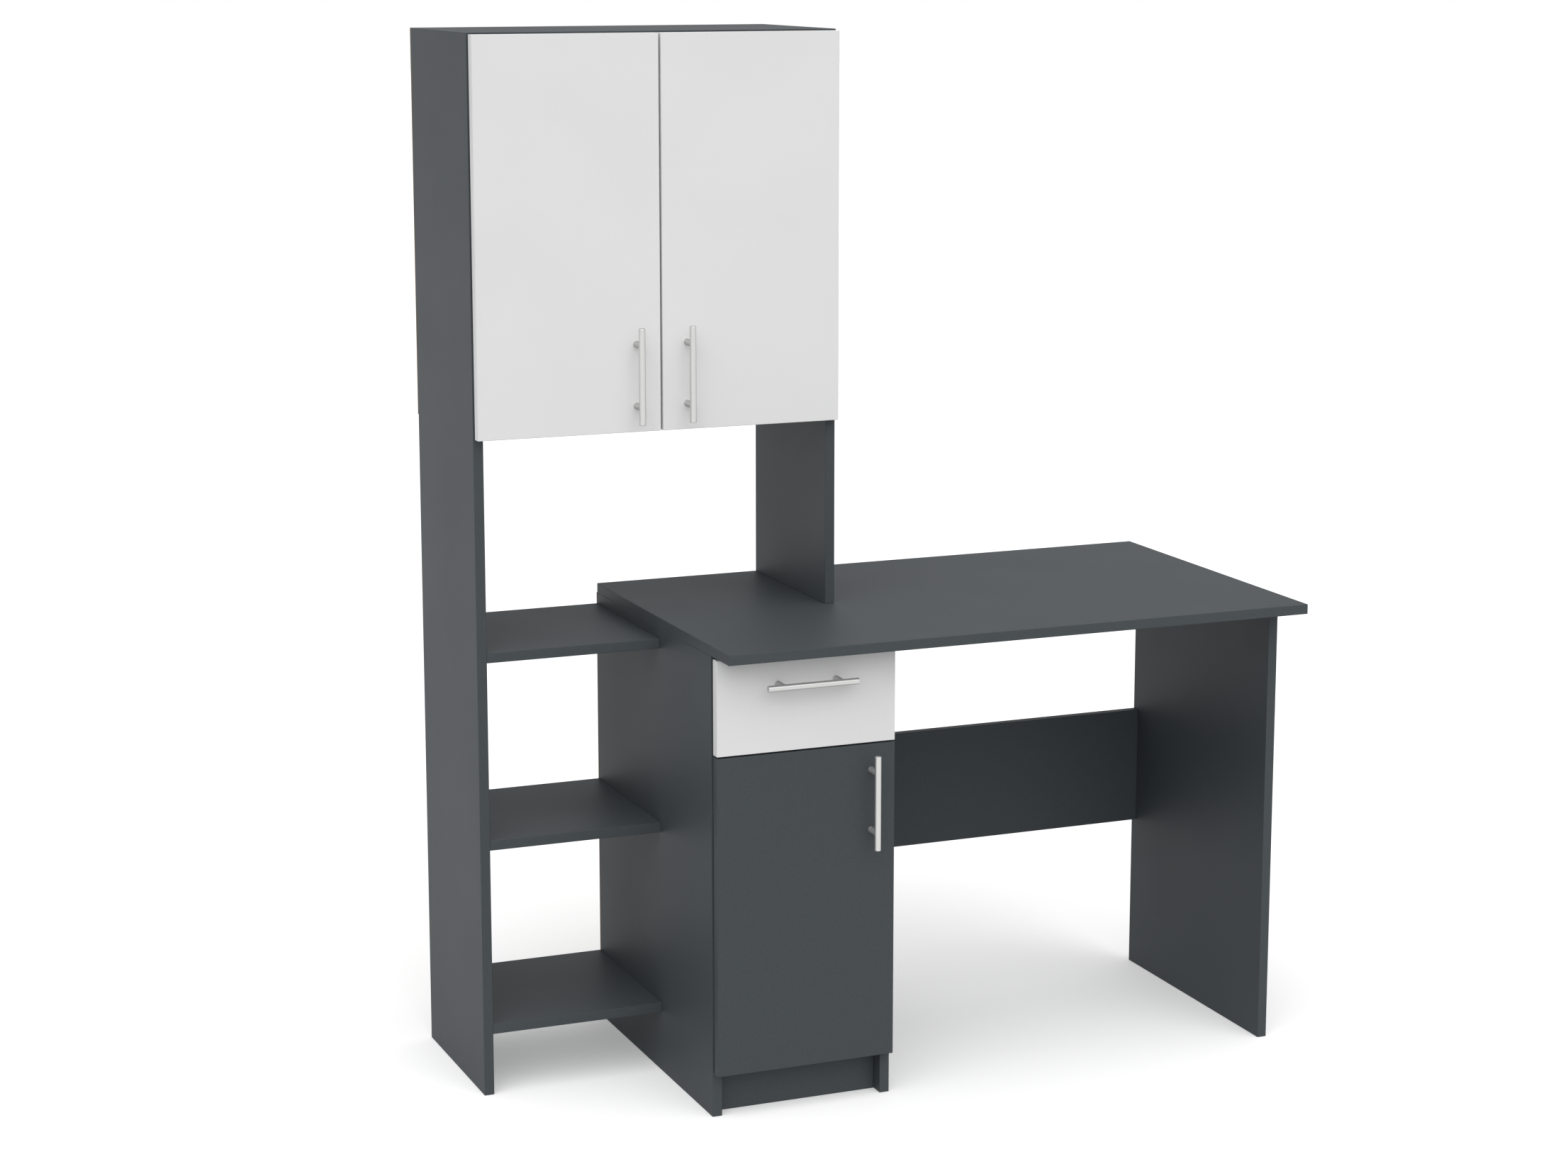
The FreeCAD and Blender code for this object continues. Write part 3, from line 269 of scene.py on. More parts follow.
# Drawer box: sides and back of 12 mm chipboard wrapped in light grey foil, with a hardboard floor let
# into the sides, its foiled side up.
FOIL = (0.50, 0.51, 0.51, 1.0)
FOIL_ROUGHNESS = 0.5
FOIL_GLOSS = 0.35
UPWARDS = (0.5, 0.9)
foil_sides = melamine("drawer_foil_sides", FOIL, FOIL, "X", FOIL_ROUGHNESS, FOIL_GLOSS)
dress(foil_sides, "drawer_left_side", "drawer_right_side")
dress(melamine("drawer_foil_back", FOIL, FOIL, "Y", FOIL_ROUGHNESS, FOIL_GLOSS), "drawer_back")
dress(fibreboard("drawer_floor_board", FOIL, "Z", *UPWARDS), "drawer_bottom")


# Runners: roll-formed steel angles, powder-coated white, screwed to the pedestal's sides and under the
# drawer, with a nylon roller at the front of one and the rear of the other.
COATING = (0.74, 0.73, 0.70, 1.0)
COATING_ROUGHNESS = 0.42
COATING_GRAIN = 700.0
COATING_PEEL_HEIGHT = 0.0001
NYLON = (0.70, 0.70, 0.67, 1.0)
NYLON_ROUGHNESS = 0.48
NYLON_GRAIN = 260.0
NYLON_PEEL_HEIGHT = 0.00005
SKIN_GLOSS = 0.5
SKIN_DETAIL = 3.0
SKIN_DARK, SKIN_PALE = 0.95, 1.03
SKIN_POLISH = 0.02
SKIN_PEEL = 0.2


def coated(name, colour, roughness, grain, height):
    """One colour with a fine uneven skin."""
    finish, tree, shader = new_finish(name, Specular_IOR_Level=SKIN_GLOSS)
    place = add_node(tree, "TexCoord")
    skin = grained(tree, place.outputs["Object"], grain, SKIN_DETAIL)
    tree.links.new(toned(tree, colour, skin, SKIN_DARK, SKIN_PALE), shader.inputs["Base Color"])
    polish(tree, shader, skin, roughness, SKIN_POLISH)
    emboss(tree, shader, skin, SKIN_PEEL, height)
    return finish


dress(coated("runner_powder_coat", COATING, COATING_ROUGHNESS, COATING_GRAIN, COATING_PEEL_HEIGHT),
      "cabinet_runners", "drawer_runners")
dress(coated("roller_nylon", NYLON, NYLON_ROUGHNESS, NYLON_GRAIN, NYLON_PEEL_HEIGHT),
      "front_rollers", "rear_rollers")


# Hinge cups: a bowl drawn from sheet steel and nickel-plated, let into a 35 mm hole in the door, with a
# rolled rim and two ears that lie on the door's rear face and take a screw each.
EVEN = (1.0, 1.0, 1.0)
PLAIN_RIM = (1.0, 1.0, 1.0, 1.0)
PLATE_METALLIC = 0.8
PLATE_ROUGHNESS = 0.36
PLATE_NICKEL = (0.66, 0.65, 0.62, 1.0)
PLATE_NICKEL_GRAIN = 90.0
PLATE_NICKEL_DEPTH = 0.03
MILLIMETRE = 0.001
MILLIMETRES = Matrix.Scale(MILLIMETRE, 4)
NEAR = 0.1
DOUBLED = 0.001
LEVEL_ANGLE = 0.01
SHARP_ANGLE = math.radians(40.0)
EASING_STEPS = 2
HINGE_FROM_END = 0.090
PIN_FROM_EDGE = 0.007
PIN_DEEP = 0.0095
DOOR_FACE = 9.5
CUP_MIDDLE = 13.5
BOWL_FLOOR = -2.7
BOWL_UNDERSIDE = -3.5
BOWL_INSIDE = 16.7
BOWL_OUTSIDE = 17.5
BOWL_ROUND = 2.5
BOWL_ROUND_STEPS = 4
BOWL_SIDES = 48
BOWL_EASED = 0.0002
RIM_OUTSIDE = 18.7
RIM_TOP = 10.9
RIM_ROLL = 0.4
RIM_LIP = 0.5
EAR_TOP = 10.5
EAR_END = 31.0
EAR_REACH = (-2.0, 14.5)
EAR_ROUND = 4.0
EAR_ROUND_STEPS = 5
HINGED_DOORS = {"left_door": False, "right_door": True, "pedestal_door": False}

hinge_nickel = plated("hinge_nickel_plate", PLATE_NICKEL, PLAIN_RIM, PLATE_METALLIC, PLATE_ROUGHNESS,
                      EVEN, PLATE_NICKEL_GRAIN, PLATE_NICKEL_DEPTH)


def corners(parts):
    """The vertices among a bmesh operator's results."""
    return [part for part in parts if isinstance(part, bmesh.types.BMVert)]


def drawn_out(shape, faces):
    """Extrudes faces of a closed shape, without leaving the old faces inside."""
    parts = bmesh.ops.extrude_face_region(shape, geom=faces)["geom"]
    bmesh.ops.delete(shape, geom=faces, context="FACES")
    return parts


def rounded(shape, edges, width, steps):
    """Rounds some edges of a shape."""
    bmesh.ops.bevel(shape, geom=edges, offset=width, segments=steps, profile=0.5, affect="EDGES", material=-1)


def spun(section, axis, sides, closed=False):
    """A section's points joined by lines, and spun all the way round an axis through the origin."""
    shape = bmesh.new()
    points = [shape.verts.new(point) for point in section]
    ends = points[1:] + points[:1] if closed else points[1:]
    lines = [shape.edges.new(pair) for pair in zip(points, ends)]
    bmesh.ops.spin(shape, geom=points + lines, cent=(0.0, 0.0, 0.0), axis=axis,
                   angle=math.tau, steps=sides, use_merge=True)
    bmesh.ops.remove_doubles(shape, verts=shape.verts, dist=DOUBLED)
    bmesh.ops.recalc_face_normals(shape, faces=shape.faces)
    return shape


def hinge_places(door, hung_right):
    """Where a door's two hinges stand, about their pins: X from the door's edge inwards, Y to the cabinet."""
    low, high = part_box(door + "_panel")
    across = high.x - PIN_FROM_EDGE if hung_right else low.x + PIN_FROM_EDGE
    turn = Matrix.Rotation(math.pi if hung_right else 0.0, 4, "Y")
    heights = (low.z + HINGE_FROM_END, high.z - HINGE_FROM_END)
    return [Matrix.Translation((across, high.y - PIN_DEEP, up)) @ turn @ MILLIMETRES for up in heights]


def fit_piece(name, shape, places, finish, eased, body, slot, *nodes):
    """One piece from a shape repeated at its places, with eased edges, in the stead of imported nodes."""
    first = shape.verts[:] + shape.edges[:] + shape.faces[:]
    for place in places[1:]:
        again = bmesh.ops.duplicate(shape, geom=first)["geom"]
        bmesh.ops.transform(shape, matrix=place, verts=corners(again))
    bmesh.ops.transform(shape, matrix=places[0], verts=corners(first))
    mesh = bpy.data.meshes.new(name)
    shape.to_mesh(mesh)
    shape.free()
    mesh.shade_smooth()
    mesh.set_sharp_from_angle(angle=SHARP_ANGLE)
    mesh.materials.append(finish)
    piece = bpy.data.objects.new(name, mesh)
    bpy.context.scene.collection.objects.link(piece)
    if eased:
        easing = piece.modifiers.new("eased_edges", "BEVEL")
        easing.width = eased
        easing.segments = EASING_STEPS
        easing.limit_method = "ANGLE"
        easing.angle_limit = SHARP_ANGLE
    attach(piece, body)
    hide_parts(*nodes)


def hinge_bowl():
    """The bowl in section, spun about its middle, with its ears drawn out of the rim."""
    section = ((0.0, BOWL_FLOOR), (BOWL_INSIDE, BOWL_FLOOR), (BOWL_INSIDE, EAR_TOP - RIM_ROLL),
               (BOWL_INSIDE + RIM_LIP, RIM_TOP), (RIM_OUTSIDE - RIM_ROLL, RIM_TOP), (RIM_OUTSIDE, EAR_TOP),
               (RIM_OUTSIDE, DOOR_FACE), (BOWL_OUTSIDE, DOOR_FACE), (BOWL_OUTSIDE, BOWL_UNDERSIDE),
               (0.0, BOWL_UNDERSIDE))
    bowl = spun([(out, up, 0.0) for out, up in section], (0.0, 1.0, 0.0), BOWL_SIDES)
    foot = [edge for edge in bowl.edges if all(
        vert.co.y < BOWL_FLOOR + NEAR and vert.co.xz.length > BOWL_INSIDE - NEAR for vert in edge.verts)]
    rounded(bowl, foot, BOWL_ROUND, BOWL_ROUND_STEPS)
    for side in (-1.0, 1.0):
        band = []
        for face in bowl.faces:
            middle = face.calc_center_median()
            if (middle.z * side > 0.0 and EAR_REACH[0] < middle.x < EAR_REACH[1]
                    and middle.xz.length > RIM_OUTSIDE - 2.0 * NEAR and DOOR_FACE < middle.y < EAR_TOP):
                band.append(face)
        drawn = corners(drawn_out(bowl, band))
        flat = Matrix.Translation((0.0, 0.0, -side * EAR_END))
        bmesh.ops.scale(bowl, vec=(1.0, 1.0, 0.0), space=flat, verts=drawn)
        level = [edge for vert in drawn for edge in vert.link_edges if edge.calc_face_angle() < LEVEL_ANGLE]
        bmesh.ops.dissolve_edges(bowl, edges=list(dict.fromkeys(level)), use_verts=True)
        tips = [edge for edge in bowl.edges
                if all(abs(vert.co.z * side - EAR_END) < NEAR for vert in edge.verts)
                and abs(edge.verts[0].co.y - edge.verts[1].co.y) > NEAR]
        rounded(bowl, tips, EAR_ROUND, EAR_ROUND_STEPS)
    bmesh.ops.translate(bowl, vec=(CUP_MIDDLE, 0.0, 0.0), verts=bowl.verts)
    return bowl


for door, hung_right in HINGED_DOORS.items():
    fit_piece(door + "_hinge_bowls", hinge_bowl(), hinge_places(door, hung_right), hinge_nickel, BOWL_EASED,
              door, "nickel_plated_steel", door + "_hinge_cups")


# Hinge arms: a strip of pressed nickel-plated steel, bent down to the pin in the cup at one end and folded
# to a channel over the mounting plate at the other, with its fixing and adjusting screws on top.
ARM_SHEET = 1.2
ARM_MIDDLE = 14.6
ARM_BEND = 4.0
ARM_BEND_STEPS = 6
ARM_EASED = 0.00015
NECK_HALF = 4.0
TAIL_HALF = 7.0
NECK_START, NECK_FOLD, NECK_SWELL, TAIL_START, TAIL_END = 1.9, 15.0, 25.0, 33.0, 67.5
FOLDS_DEEP = {NECK_FOLD: 0.6, NECK_SWELL: 2.4, TAIL_START: 4.4, TAIL_END: 4.4}
FOLD_ANGLE = 1.0
FOLD_ROUND = 0.5
FOLD_ROUND_STEPS = 3
PIN_EYE_INSIDE = 1.3
PIN_EYE_OUTSIDE = 2.4
PIN_EYE_SIDES = 24
ARM_SCREWS = ((40.0, 2.7, 0.8), (57.0, 4.0, 1.5))
HEAD_SIDES = 24
HEAD_EASED = 0.45
CROSS_HALF = 0.09
CROSS_REACH = 0.29
CROSS_DEEP = 0.75
CROSS_TAPER = 0.7
SCREW_TIP = 0.05


def facing(direction, place):
    """The turn that points Z in a direction, at a place."""
    return Matrix.Translation(place) @ Vector(direction).to_track_quat("Z", "Y").to_matrix().to_4x4()


def cross_face(top, arm_half, reach, deep):
    """A round face at the origin, looking up Z, with a cross sunk into it."""
    face = bmesh.new()
    bmesh.ops.create_circle(face, cap_ends=True, segments=HEAD_SIDES, radius=top)
    for axis in ((1.0, 0.0, 0.0), (0.0, 1.0, 0.0)):
        for cut in (-reach, -arm_half, arm_half, reach):
            bmesh.ops.bisect_plane(face, geom=face.verts[:] + face.edges[:] + face.faces[:],
                                   plane_co=cut * Vector(axis), plane_no=axis)
    cross = []
    for part in face.faces:
        middle = part.calc_center_median()
        small, large = sorted((abs(middle.x), abs(middle.y)))
        if small < arm_half and large < reach:
            cross.append(part)
    sunk = corners(drawn_out(face, cross))
    bmesh.ops.scale(face, vec=(CROSS_TAPER, CROSS_TAPER, 1.0), verts=sunk)
    bmesh.ops.translate(face, vec=(0.0, 0.0, -deep), verts=sunk)
    return face


def turned_below(shape, top, steps):
    """Carries a round face down through half widths and heights, and closes it underneath."""
    ring = [edge for edge in shape.edges if edge.is_boundary]
    width, height = top, 0.0
    for wide, level in steps:
        grown = bmesh.ops.extrude_edge_only(shape, edges=ring)["geom"]
        bmesh.ops.scale(shape, vec=(wide / width, wide / width, 1.0), verts=corners(grown))
        bmesh.ops.translate(shape, vec=(0.0, 0.0, level - height), verts=corners(grown))
        ring = [part for part in grown if isinstance(part, bmesh.types.BMEdge) and part.is_boundary]
        width, height = wide, level
    bmesh.ops.edgeloop_fill(shape, edges=ring)
    bmesh.ops.recalc_face_normals(shape, faces=shape.faces)


def cross_screw(head, height, shank=0.0, length=0.0):
    """A round-headed screw with a cross recess, its head standing on the origin and its shank below."""
    top = 0.5 * head - HEAD_EASED * height
    screw = cross_face(top, CROSS_HALF * head, CROSS_REACH * head, CROSS_DEEP * height)
    steps = [(0.5 * head, -0.5 * height), (0.5 * head, -height)]
    if length:
        tip = -height - length
        steps += [(0.5 * shank, -height), (0.5 * shank, tip + shank), (SCREW_TIP, tip)]
    turned_below(screw, top, steps)
    bmesh.ops.translate(screw, vec=(0.0, 0.0, height), verts=screw.verts)
    return screw


def add_shape(whole, part, place):
    """Puts one shape into another at a place."""
    bmesh.ops.transform(part, matrix=place, verts=part.verts)
    carried = bpy.data.meshes.new("carried")
    part.to_mesh(carried)
    part.free()
    whole.from_mesh(carried)
    bpy.data.meshes.remove(carried)


def hinge_arm():
    """A strip along the arm's middle line, widened, folded, bent and thickened, with its eye and screws."""
    arm = bmesh.new()
    line = ((NECK_START, 0.0), (ARM_MIDDLE, 0.0), (ARM_MIDDLE, NECK_FOLD), (ARM_MIDDLE, NECK_SWELL),
            (ARM_MIDDLE, TAIL_START), (ARM_MIDDLE, TAIL_END))
    points = [arm.verts.new((x, y, -NECK_HALF)) for x, y in line]
    edges = [arm.edges.new(pair) for pair in zip(points, points[1:])]
    strip = bmesh.ops.extrude_edge_only(arm, edges=edges)["geom"]
    bmesh.ops.translate(arm, vec=(0.0, 0.0, 2.0 * NECK_HALF), verts=corners(strip))
    tail = [vert for vert in arm.verts if vert.co.y > TAIL_START - NEAR]
    bmesh.ops.scale(arm, vec=(1.0, 1.0, TAIL_HALF / NECK_HALF), verts=tail)
    sides = [edge for edge in arm.edges if edge.is_boundary
             and all(vert.co.y > NECK_FOLD - NEAR for vert in edge.verts)
             and edge.verts[0].co.z * edge.verts[1].co.z > 0.0]
    folded = corners(bmesh.ops.extrude_edge_only(arm, edges=sides)["geom"])
    for start, deep in FOLDS_DEEP.items():
        hem = [vert for vert in folded if abs(vert.co.y - start) < NEAR]
        bmesh.ops.translate(arm, vec=(-deep, 0.0, 0.0), verts=hem)
    bend = [edge for edge in arm.edges if all(
        abs(vert.co.y) < NEAR and abs(vert.co.x - ARM_MIDDLE) < NEAR for vert in edge.verts)]
    rounded(arm, bend, ARM_BEND, ARM_BEND_STEPS)
    folds = [edge for edge in arm.edges if len(edge.link_faces) == 2 and edge.calc_face_angle() > FOLD_ANGLE]
    rounded(arm, folds, FOLD_ROUND, FOLD_ROUND_STEPS)
    bmesh.ops.recalc_face_normals(arm, faces=arm.faces)
    bmesh.ops.solidify(arm, geom=arm.faces[:], thickness=ARM_SHEET)
    bmesh.ops.recalc_face_normals(arm, faces=arm.faces)
    pin_eye = ((PIN_EYE_INSIDE, 0.0, -NECK_HALF), (PIN_EYE_OUTSIDE, 0.0, -NECK_HALF),
               (PIN_EYE_OUTSIDE, 0.0, NECK_HALF), (PIN_EYE_INSIDE, 0.0, NECK_HALF))
    add_shape(arm, spun(pin_eye, (0.0, 0.0, 1.0), PIN_EYE_SIDES, closed=True), Matrix())
    for along, half, height in ARM_SCREWS:
        add_shape(arm, cross_screw(2.0 * half, height),
                  facing((1.0, 0.0, 0.0), (ARM_MIDDLE + ARM_SHEET / 2.0, along, 0.0)))
    return arm


all_hinges = [place for door, hung_right in HINGED_DOORS.items() for place in hinge_places(door, hung_right)]
fit_piece("hinge_pressed_arms", hinge_arm(), all_hinges, hinge_nickel, ARM_EASED, "frame",
          "nickel_plated_steel", "hinge_arms")


# Mounting plates: cast crosses, nickel-plated, with a wing above and below that a screw holds to the panel
# and a ridge that the arm sits astride.
PLATE_MIDDLE = 49.5
PLATE_FOOT = 7.0
PLATE_EASED = 0.0004
WING_TOP = 9.0
WING_ROUND = 5.5
WING_ROUND_STEPS = 6
RIDGE_TOP = 12.8
PLATE_Y = (31.5, 43.5, 55.5, 67.5)
PLATE_Z = (-26.0, -5.2, 5.2, 26.0)
GRID_HALF = 1.5


def mounting_plate():
    """A cross cut from a grid, raised to the wings' height and then to the ridge's."""
    plate = bmesh.new()
    bmesh.ops.create_grid(plate, x_segments=3, y_segments=3, size=GRID_HALF)
    for vert in plate.verts:
        column = round(vert.co.x + GRID_HALF)
        row = round(vert.co.y + GRID_HALF)
        vert.co = (PLATE_FOOT, PLATE_Y[column], PLATE_Z[row])
    spare = []
    for face in plate.faces:
        middle = face.calc_center_median()
        if abs(middle.z) > PLATE_Z[2] and abs(middle.y - PLATE_MIDDLE) > PLATE_Y[2] - PLATE_MIDDLE:
            spare.append(face)
    bmesh.ops.delete(plate, geom=spare, context="FACES")
    raised = bmesh.ops.extrude_face_region(plate, geom=plate.faces[:])["geom"]
    bmesh.ops.translate(plate, vec=(WING_TOP - PLATE_FOOT, 0.0, 0.0), verts=corners(raised))
    ridge = [part for part in raised if isinstance(part, bmesh.types.BMFace)
             and abs(part.calc_center_median().z) < PLATE_Z[2]]
    crest = corners(drawn_out(plate, ridge))
    bmesh.ops.translate(plate, vec=(RIDGE_TOP - WING_TOP, 0.0, 0.0), verts=crest)
    bmesh.ops.recalc_face_normals(plate, faces=plate.faces)
    ends = [edge for edge in plate.edges if all(abs(vert.co.z) > PLATE_Z[3] - NEAR for vert in edge.verts)
            and abs(edge.verts[0].co.x - edge.verts[1].co.x) > NEAR]
    rounded(plate, ends, WING_ROUND, WING_ROUND_STEPS)
    return plate


fit_piece("hinge_winged_plates", mounting_plate(), all_hinges, hinge_nickel, PLATE_EASED, "frame",
          "nickel_plated_steel", "hinge_plates")


# Screws: cross-headed and zinc-plated. Chipboard screws hold the hinge cups and plates, the runners and the
# drawer's back, and machine screws run through the fronts into the handles' posts. Each kind gives its
# head's width and height, and its shank's width and length.
ZINC = (0.58, 0.58, 0.57, 1.0)
ZINC_GRAIN = 500.0
ZINC_DEPTH = 0.05
WOOD_SCREW = (7.0, 1.3, 3.5, 10.0)
RUNNER_SCREW = (7.0, 1.2, 3.5, 11.2)
BACK_SCREW = (7.0, 3.0, 3.5, 37.0)
GRIP_SCREW = (8.0, 2.2, 4.0, 24.0)
SAME_LENGTH = 0.0005
SAME_PLACE = 0.000001
EAR_SCREW_X = 23.0
EAR_SCREW_HALF = 22.5
WING_SCREW_HALF = 16.0
POST_HALF = 0.048
POSTS_UPRIGHT = Vector((0.0, 0.0, POST_HALF))
POSTS_LEVEL = Vector((POST_HALF, 0.0, 0.0))
HANDLED_FRONTS = (("left_door", "left_door_panel", POSTS_UPRIGHT),
                  ("right_door", "right_door_panel", POSTS_UPRIGHT),
                  ("pedestal_door", "pedestal_door_panel", POSTS_UPRIGHT),
                  ("drawer", "drawer_front", POSTS_LEVEL))
zinc_plate = plated("zinc_plate", ZINC, PLAIN_RIM, PLATE_METALLIC, PLATE_ROUGHNESS,
                    EVEN, ZINC_GRAIN, ZINC_DEPTH)


def fit_screws(name, screw, places, body, node):
    """Screws of one kind at their places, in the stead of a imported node's."""
    fit_piece(name, cross_screw(*screw), places, zinc_plate, 0.0, body, "zinc_plated_steel", node)


def solid_boxes(node):
    """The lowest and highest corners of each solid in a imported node."""
    shape = bmesh.new()
    shape.from_mesh(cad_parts[node].data)
    bmesh.ops.remove_doubles(shape, verts=shape.verts, dist=SAME_PLACE)
    boxes = []
    for start in shape.verts:
        if start.tag:
            continue
        start.tag = True
        reached = [start]
        for vert in reached:
            for edge in vert.link_edges:
                other = edge.other_vert(vert)
                if not other.tag:
                    other.tag = True
                    reached.append(other)
        sides = list(zip(*(vert.co for vert in reached)))
        boxes.append((Vector(map(min, sides)), Vector(map(max, sides))))
    shape.free()
    return boxes


def level_places(node, screw, heads_out):
    """Where a node's screws of one kind stand that lie across the drawer, with their heads out or in."""
    _, height, _, length = screw
    front_low, front_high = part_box("drawer_front")
    places = []
    for low, high in solid_boxes(node):
        if abs(high.x - low.x - MILLIMETRE * (height + length)) > SAME_LENGTH:
            continue
        middle = (low + high) / 2.0
        right_side = 2.0 * middle.x > front_low.x + front_high.x
        way = 1.0 if right_side == heads_out else -1.0
        outer = high.x if right_side == heads_out else low.x
        seat = (outer - way * MILLIMETRE * height, middle.y, middle.z)
        places.append(facing((way, 0.0, 0.0), seat) @ MILLIMETRES)
    return places


ear_spots = [facing((0.0, 1.0, 0.0), (EAR_SCREW_X, EAR_TOP, side * EAR_SCREW_HALF)) for side in (-1.0, 1.0)]
wing_spots = [facing((1.0, 0.0, 0.0), (WING_TOP, PLATE_MIDDLE, side * WING_SCREW_HALF))
              for side in (-1.0, 1.0)]
for door, hung_right in HINGED_DOORS.items():
    ear_seats = [place @ spot for place in hinge_places(door, hung_right) for spot in ear_spots]
    fit_screws(door + "_ear_screws", WOOD_SCREW, ear_seats, door, door + "_cup_screws")
wing_seats = [place @ spot for place in all_hinges for spot in wing_spots]
fit_screws("hinge_wing_screws", WOOD_SCREW, wing_seats, "frame", "hinge_plate_screws")
for owner, front, post in HANDLED_FRONTS:
    low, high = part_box(owner + "_handle")
    middle = (low + high) / 2.0
    middle.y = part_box(front)[1].y
    grip_seats = [facing((0.0, 1.0, 0.0), middle + side * post) @ MILLIMETRES for side in (-1.0, 1.0)]
    fit_screws(owner + "_grip_screws", GRIP_SCREW, grip_seats, owner, owner + "_handle_screws")
fit_screws("runner_channel_screws", RUNNER_SCREW, level_places("runner_screws", RUNNER_SCREW, False),
           "frame", "runner_screws")
fit_screws("runner_rail_screws", RUNNER_SCREW, level_places("drawer_screws", RUNNER_SCREW, True),
           "drawer", "drawer_screws")
fit_screws("drawer_back_screws", BACK_SCREW, level_places("drawer_screws", BACK_SCREW, True),
           "drawer", "drawer_screws")


# Cam locks: zinc castings with a cross in the face, pressed into pockets near the boards' ends. Half a turn
# draws in the head of the bolt, which enters by the opening in the wall.
CAST_ZINC = (0.42, 0.42, 0.43, 1.0)
CAST_ROUGHNESS = 0.45
CAST_GRAIN = 400.0
CAST_DEPTH = 0.06
CAM_HALF = 7.5
CAM_EASED = 0.5
CAM_PLATE = 2.4
CAM_HOLLOW = 4.6
CAM_CROSS = (0.9, 3.6, 1.5)
CAM_OPENING = math.radians(55.0)
BOARD_CAM_DEEP = 12.5
DRAWER_CAM_DEEP = 9.5
cast_zinc = plated("cast_zinc", CAST_ZINC, PLAIN_RIM, PLATE_METALLIC, CAST_ROUGHNESS,
                   EVEN, CAST_GRAIN, CAST_DEPTH)


def cam_lock(deep):
    """The face with its cross, and a wall below it that stays open towards the bolt."""
    top = CAM_HALF - CAM_EASED
    cam = cross_face(top, *CAM_CROSS)
    turned_below(cam, top, ((CAM_HALF, -CAM_EASED), (CAM_HALF, -CAM_PLATE), (CAM_HOLLOW, -CAM_PLATE)))
    wall = []
    for face in cam.faces:
        middle = face.calc_center_median()
        if (abs(middle.z + CAM_PLATE) < NEAR and middle.xy.length > CAM_HOLLOW
                and abs(math.atan2(middle.y, middle.x)) > CAM_OPENING):
            wall.append(face)
    bmesh.ops.translate(cam, vec=(0.0, 0.0, CAM_PLATE - deep), verts=corners(drawn_out(cam, wall)))
    return cam


def cam_places(locks, bolts):
    """Where each lock's face stands, with X along its bolt to the joint and Z out of the board."""
    shanks = [(low + high) / 2.0 for low, high in solid_boxes(bolts)]
    places = []
    for low, high in solid_boxes(locks):
        middle = (low + high) / 2.0
        size = high - low
        thin = min(size)
        way = min(shanks, key=lambda shank: (shank - middle).length) - middle
        longest = max(abs(step) for step in way)
        along = Vector([math.copysign(1.0, step) if abs(step) == longest else 0.0 for step in way])
        out = Vector([-math.copysign(1.0, step) if side == thin else 0.0 for step, side in zip(way, size)])
        turn = Matrix((along, out.cross(along), out)).transposed().to_4x4()
        places.append(Matrix.Translation(middle + out * thin / 2.0) @ turn @ MILLIMETRES)
    return places


fit_piece("cam_cross_locks", cam_lock(BOARD_CAM_DEEP), cam_places("cam_locks", "cam_bolts"), cast_zinc, 0.0,
          "frame", "zinc_alloy", "cam_locks")
fit_piece("drawer_cross_locks", cam_lock(DRAWER_CAM_DEEP), cam_places("drawer_cam_locks", "drawer_cam_bolts"),
          cast_zinc, 0.0, "drawer", "zinc_alloy", "drawer_cam_locks")


# Fasteners in the boards: zinc-plated cam bolts, hinge pins, shelf pins and nails, and beech dowels, set in
# drilled holes.
BEECH = (0.56, 0.36, 0.20, 1.0)
BEECH_ROUGHNESS = 0.6
BEECH_GRAIN = 400.0
BEECH_PEEL_HEIGHT = 0.0001
dress(zinc_plate, "cam_bolts", "drawer_cam_bolts", "shelf_pins", "back_panel_nails",
      *[door + "_hinge_pins" for door in HINGED_DOORS])
dress(coated("beech_dowel", BEECH, BEECH_ROUGHNESS, BEECH_GRAIN, BEECH_PEEL_HEIGHT), "dowels")


# Studio: a plain white floor, a wide soft light from above, the front and the left, even light from all
# round, and the camera at the photograph's height and angle.
FLOOR_HALF = 40.0
FLOOR_WHITE = (0.90, 0.90, 0.90, 1.0)
FLOOR_ROUGHNESS = 0.9
FLOOR_GLOSS = 0.1
FLOOR_GLOW = 0.08
FLOOR_GLOW_SEEN = 0.27
SKY_WHITE = (1.0, 1.0, 1.0, 1.0)
SKY_ABOVE = 0.62
SKY_BELOW = 0.50
SKY_SEEN = 1.0
SKY_BAND = 0.3
SUN_STRENGTH = 1.9
SUN_SPREAD = math.radians(80.0)
SUN_FROM = Vector((-0.20, -0.60, 0.80))
EYE = Vector((-2.058, -4.6696, 1.799))
EYE_TURN = math.radians(22.362)
EYE_TILT = math.radians(10.564)
EYE_REACH = 200.0
LEVEL_LOOK = math.radians(90.0)
LENS = 73.929
SENSOR = 36.0
FRAME_SHIFT = -0.03

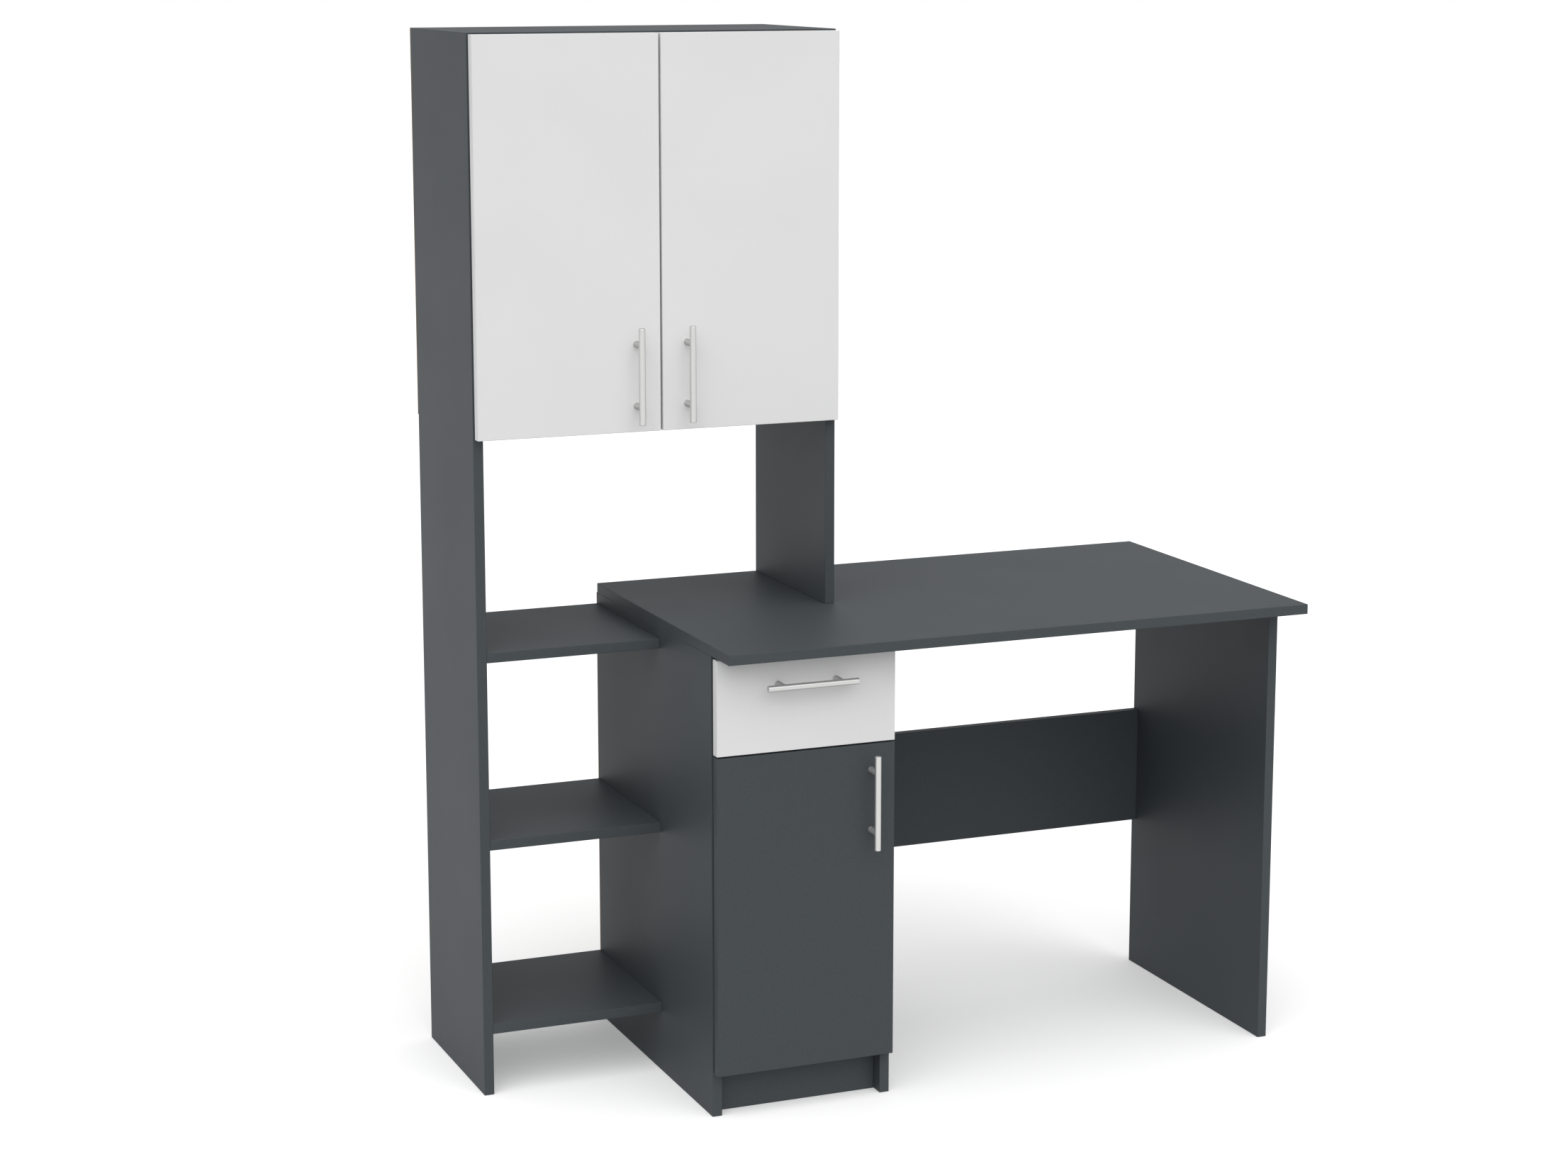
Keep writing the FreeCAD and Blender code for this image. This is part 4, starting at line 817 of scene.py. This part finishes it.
floor_mesh = bpy.data.meshes.new("studio_floor")
floor_shape = bmesh.new()
bmesh.ops.create_grid(floor_shape, x_segments=1, y_segments=1, size=FLOOR_HALF)
floor_shape.to_mesh(floor_mesh)
floor_shape.free()
floor = bpy.data.objects.new("studio_floor", floor_mesh)
bpy.context.scene.collection.objects.link(floor)
floor_finish, floor_tree, floor_shader = new_finish(
    "studio_floor", Base_Color=FLOOR_WHITE, Roughness=FLOOR_ROUGHNESS,
    Specular_IOR_Level=FLOOR_GLOSS, Emission_Color=FLOOR_WHITE)
floor_ray = add_node(floor_tree, "LightPath")
floor_glow = ranged(floor_tree, floor_ray.outputs["Is Camera Ray"], FLOOR_GLOW, FLOOR_GLOW_SEEN)
floor_tree.links.new(floor_glow, floor_shader.inputs["Emission Strength"])
floor_mesh.materials.append(floor_finish)
floor.visible_diffuse = False

surround = bpy.data.worlds.new("studio_surround")
surround.use_nodes = True
bpy.context.scene.world = surround
surround_tree = surround.node_tree
sky = surround_tree.nodes["Background"]
look = add_node(surround_tree, "TexCoord")
upness = add_node(surround_tree, "SeparateXYZ", {"Vector": look.outputs["Generated"]})
glow = ranged(surround_tree, upness.outputs["Z"], SKY_BELOW, SKY_ABOVE, -SKY_BAND, SKY_BAND)
ray = add_node(surround_tree, "LightPath")
seen = add_node(surround_tree, "Mix", {0: ray.outputs["Is Camera Ray"], 2: glow, 3: SKY_SEEN})
surround_tree.links.new(seen.outputs[0], sky.inputs["Strength"])
sky.inputs["Color"].default_value = SKY_WHITE

sun_lamp = bpy.data.lights.new("soft_overhead", "SUN")
sun_lamp.energy = SUN_STRENGTH
sun_lamp.angle = SUN_SPREAD
sun = bpy.data.objects.new("soft_overhead", sun_lamp)
sun.rotation_euler = SUN_FROM.to_track_quat("Z", "Y").to_euler()
bpy.context.scene.collection.objects.link(sun)

eye_lens = bpy.data.cameras.new("photo_view")
eye_lens.sensor_width = SENSOR
eye_lens.sensor_fit = "HORIZONTAL"
eye_lens.lens = LENS
eye_lens.shift_y = FRAME_SHIFT
eye_lens.clip_end = EYE_REACH
eye = bpy.data.objects.new("photo_view", eye_lens)
eye.location = EYE
eye.rotation_euler = (LEVEL_LOOK - EYE_TILT, 0.0, -EYE_TURN)
bpy.context.scene.collection.objects.link(eye)
bpy.context.scene.camera = eye
bpy.context.scene.view_settings.view_transform = "Standard"
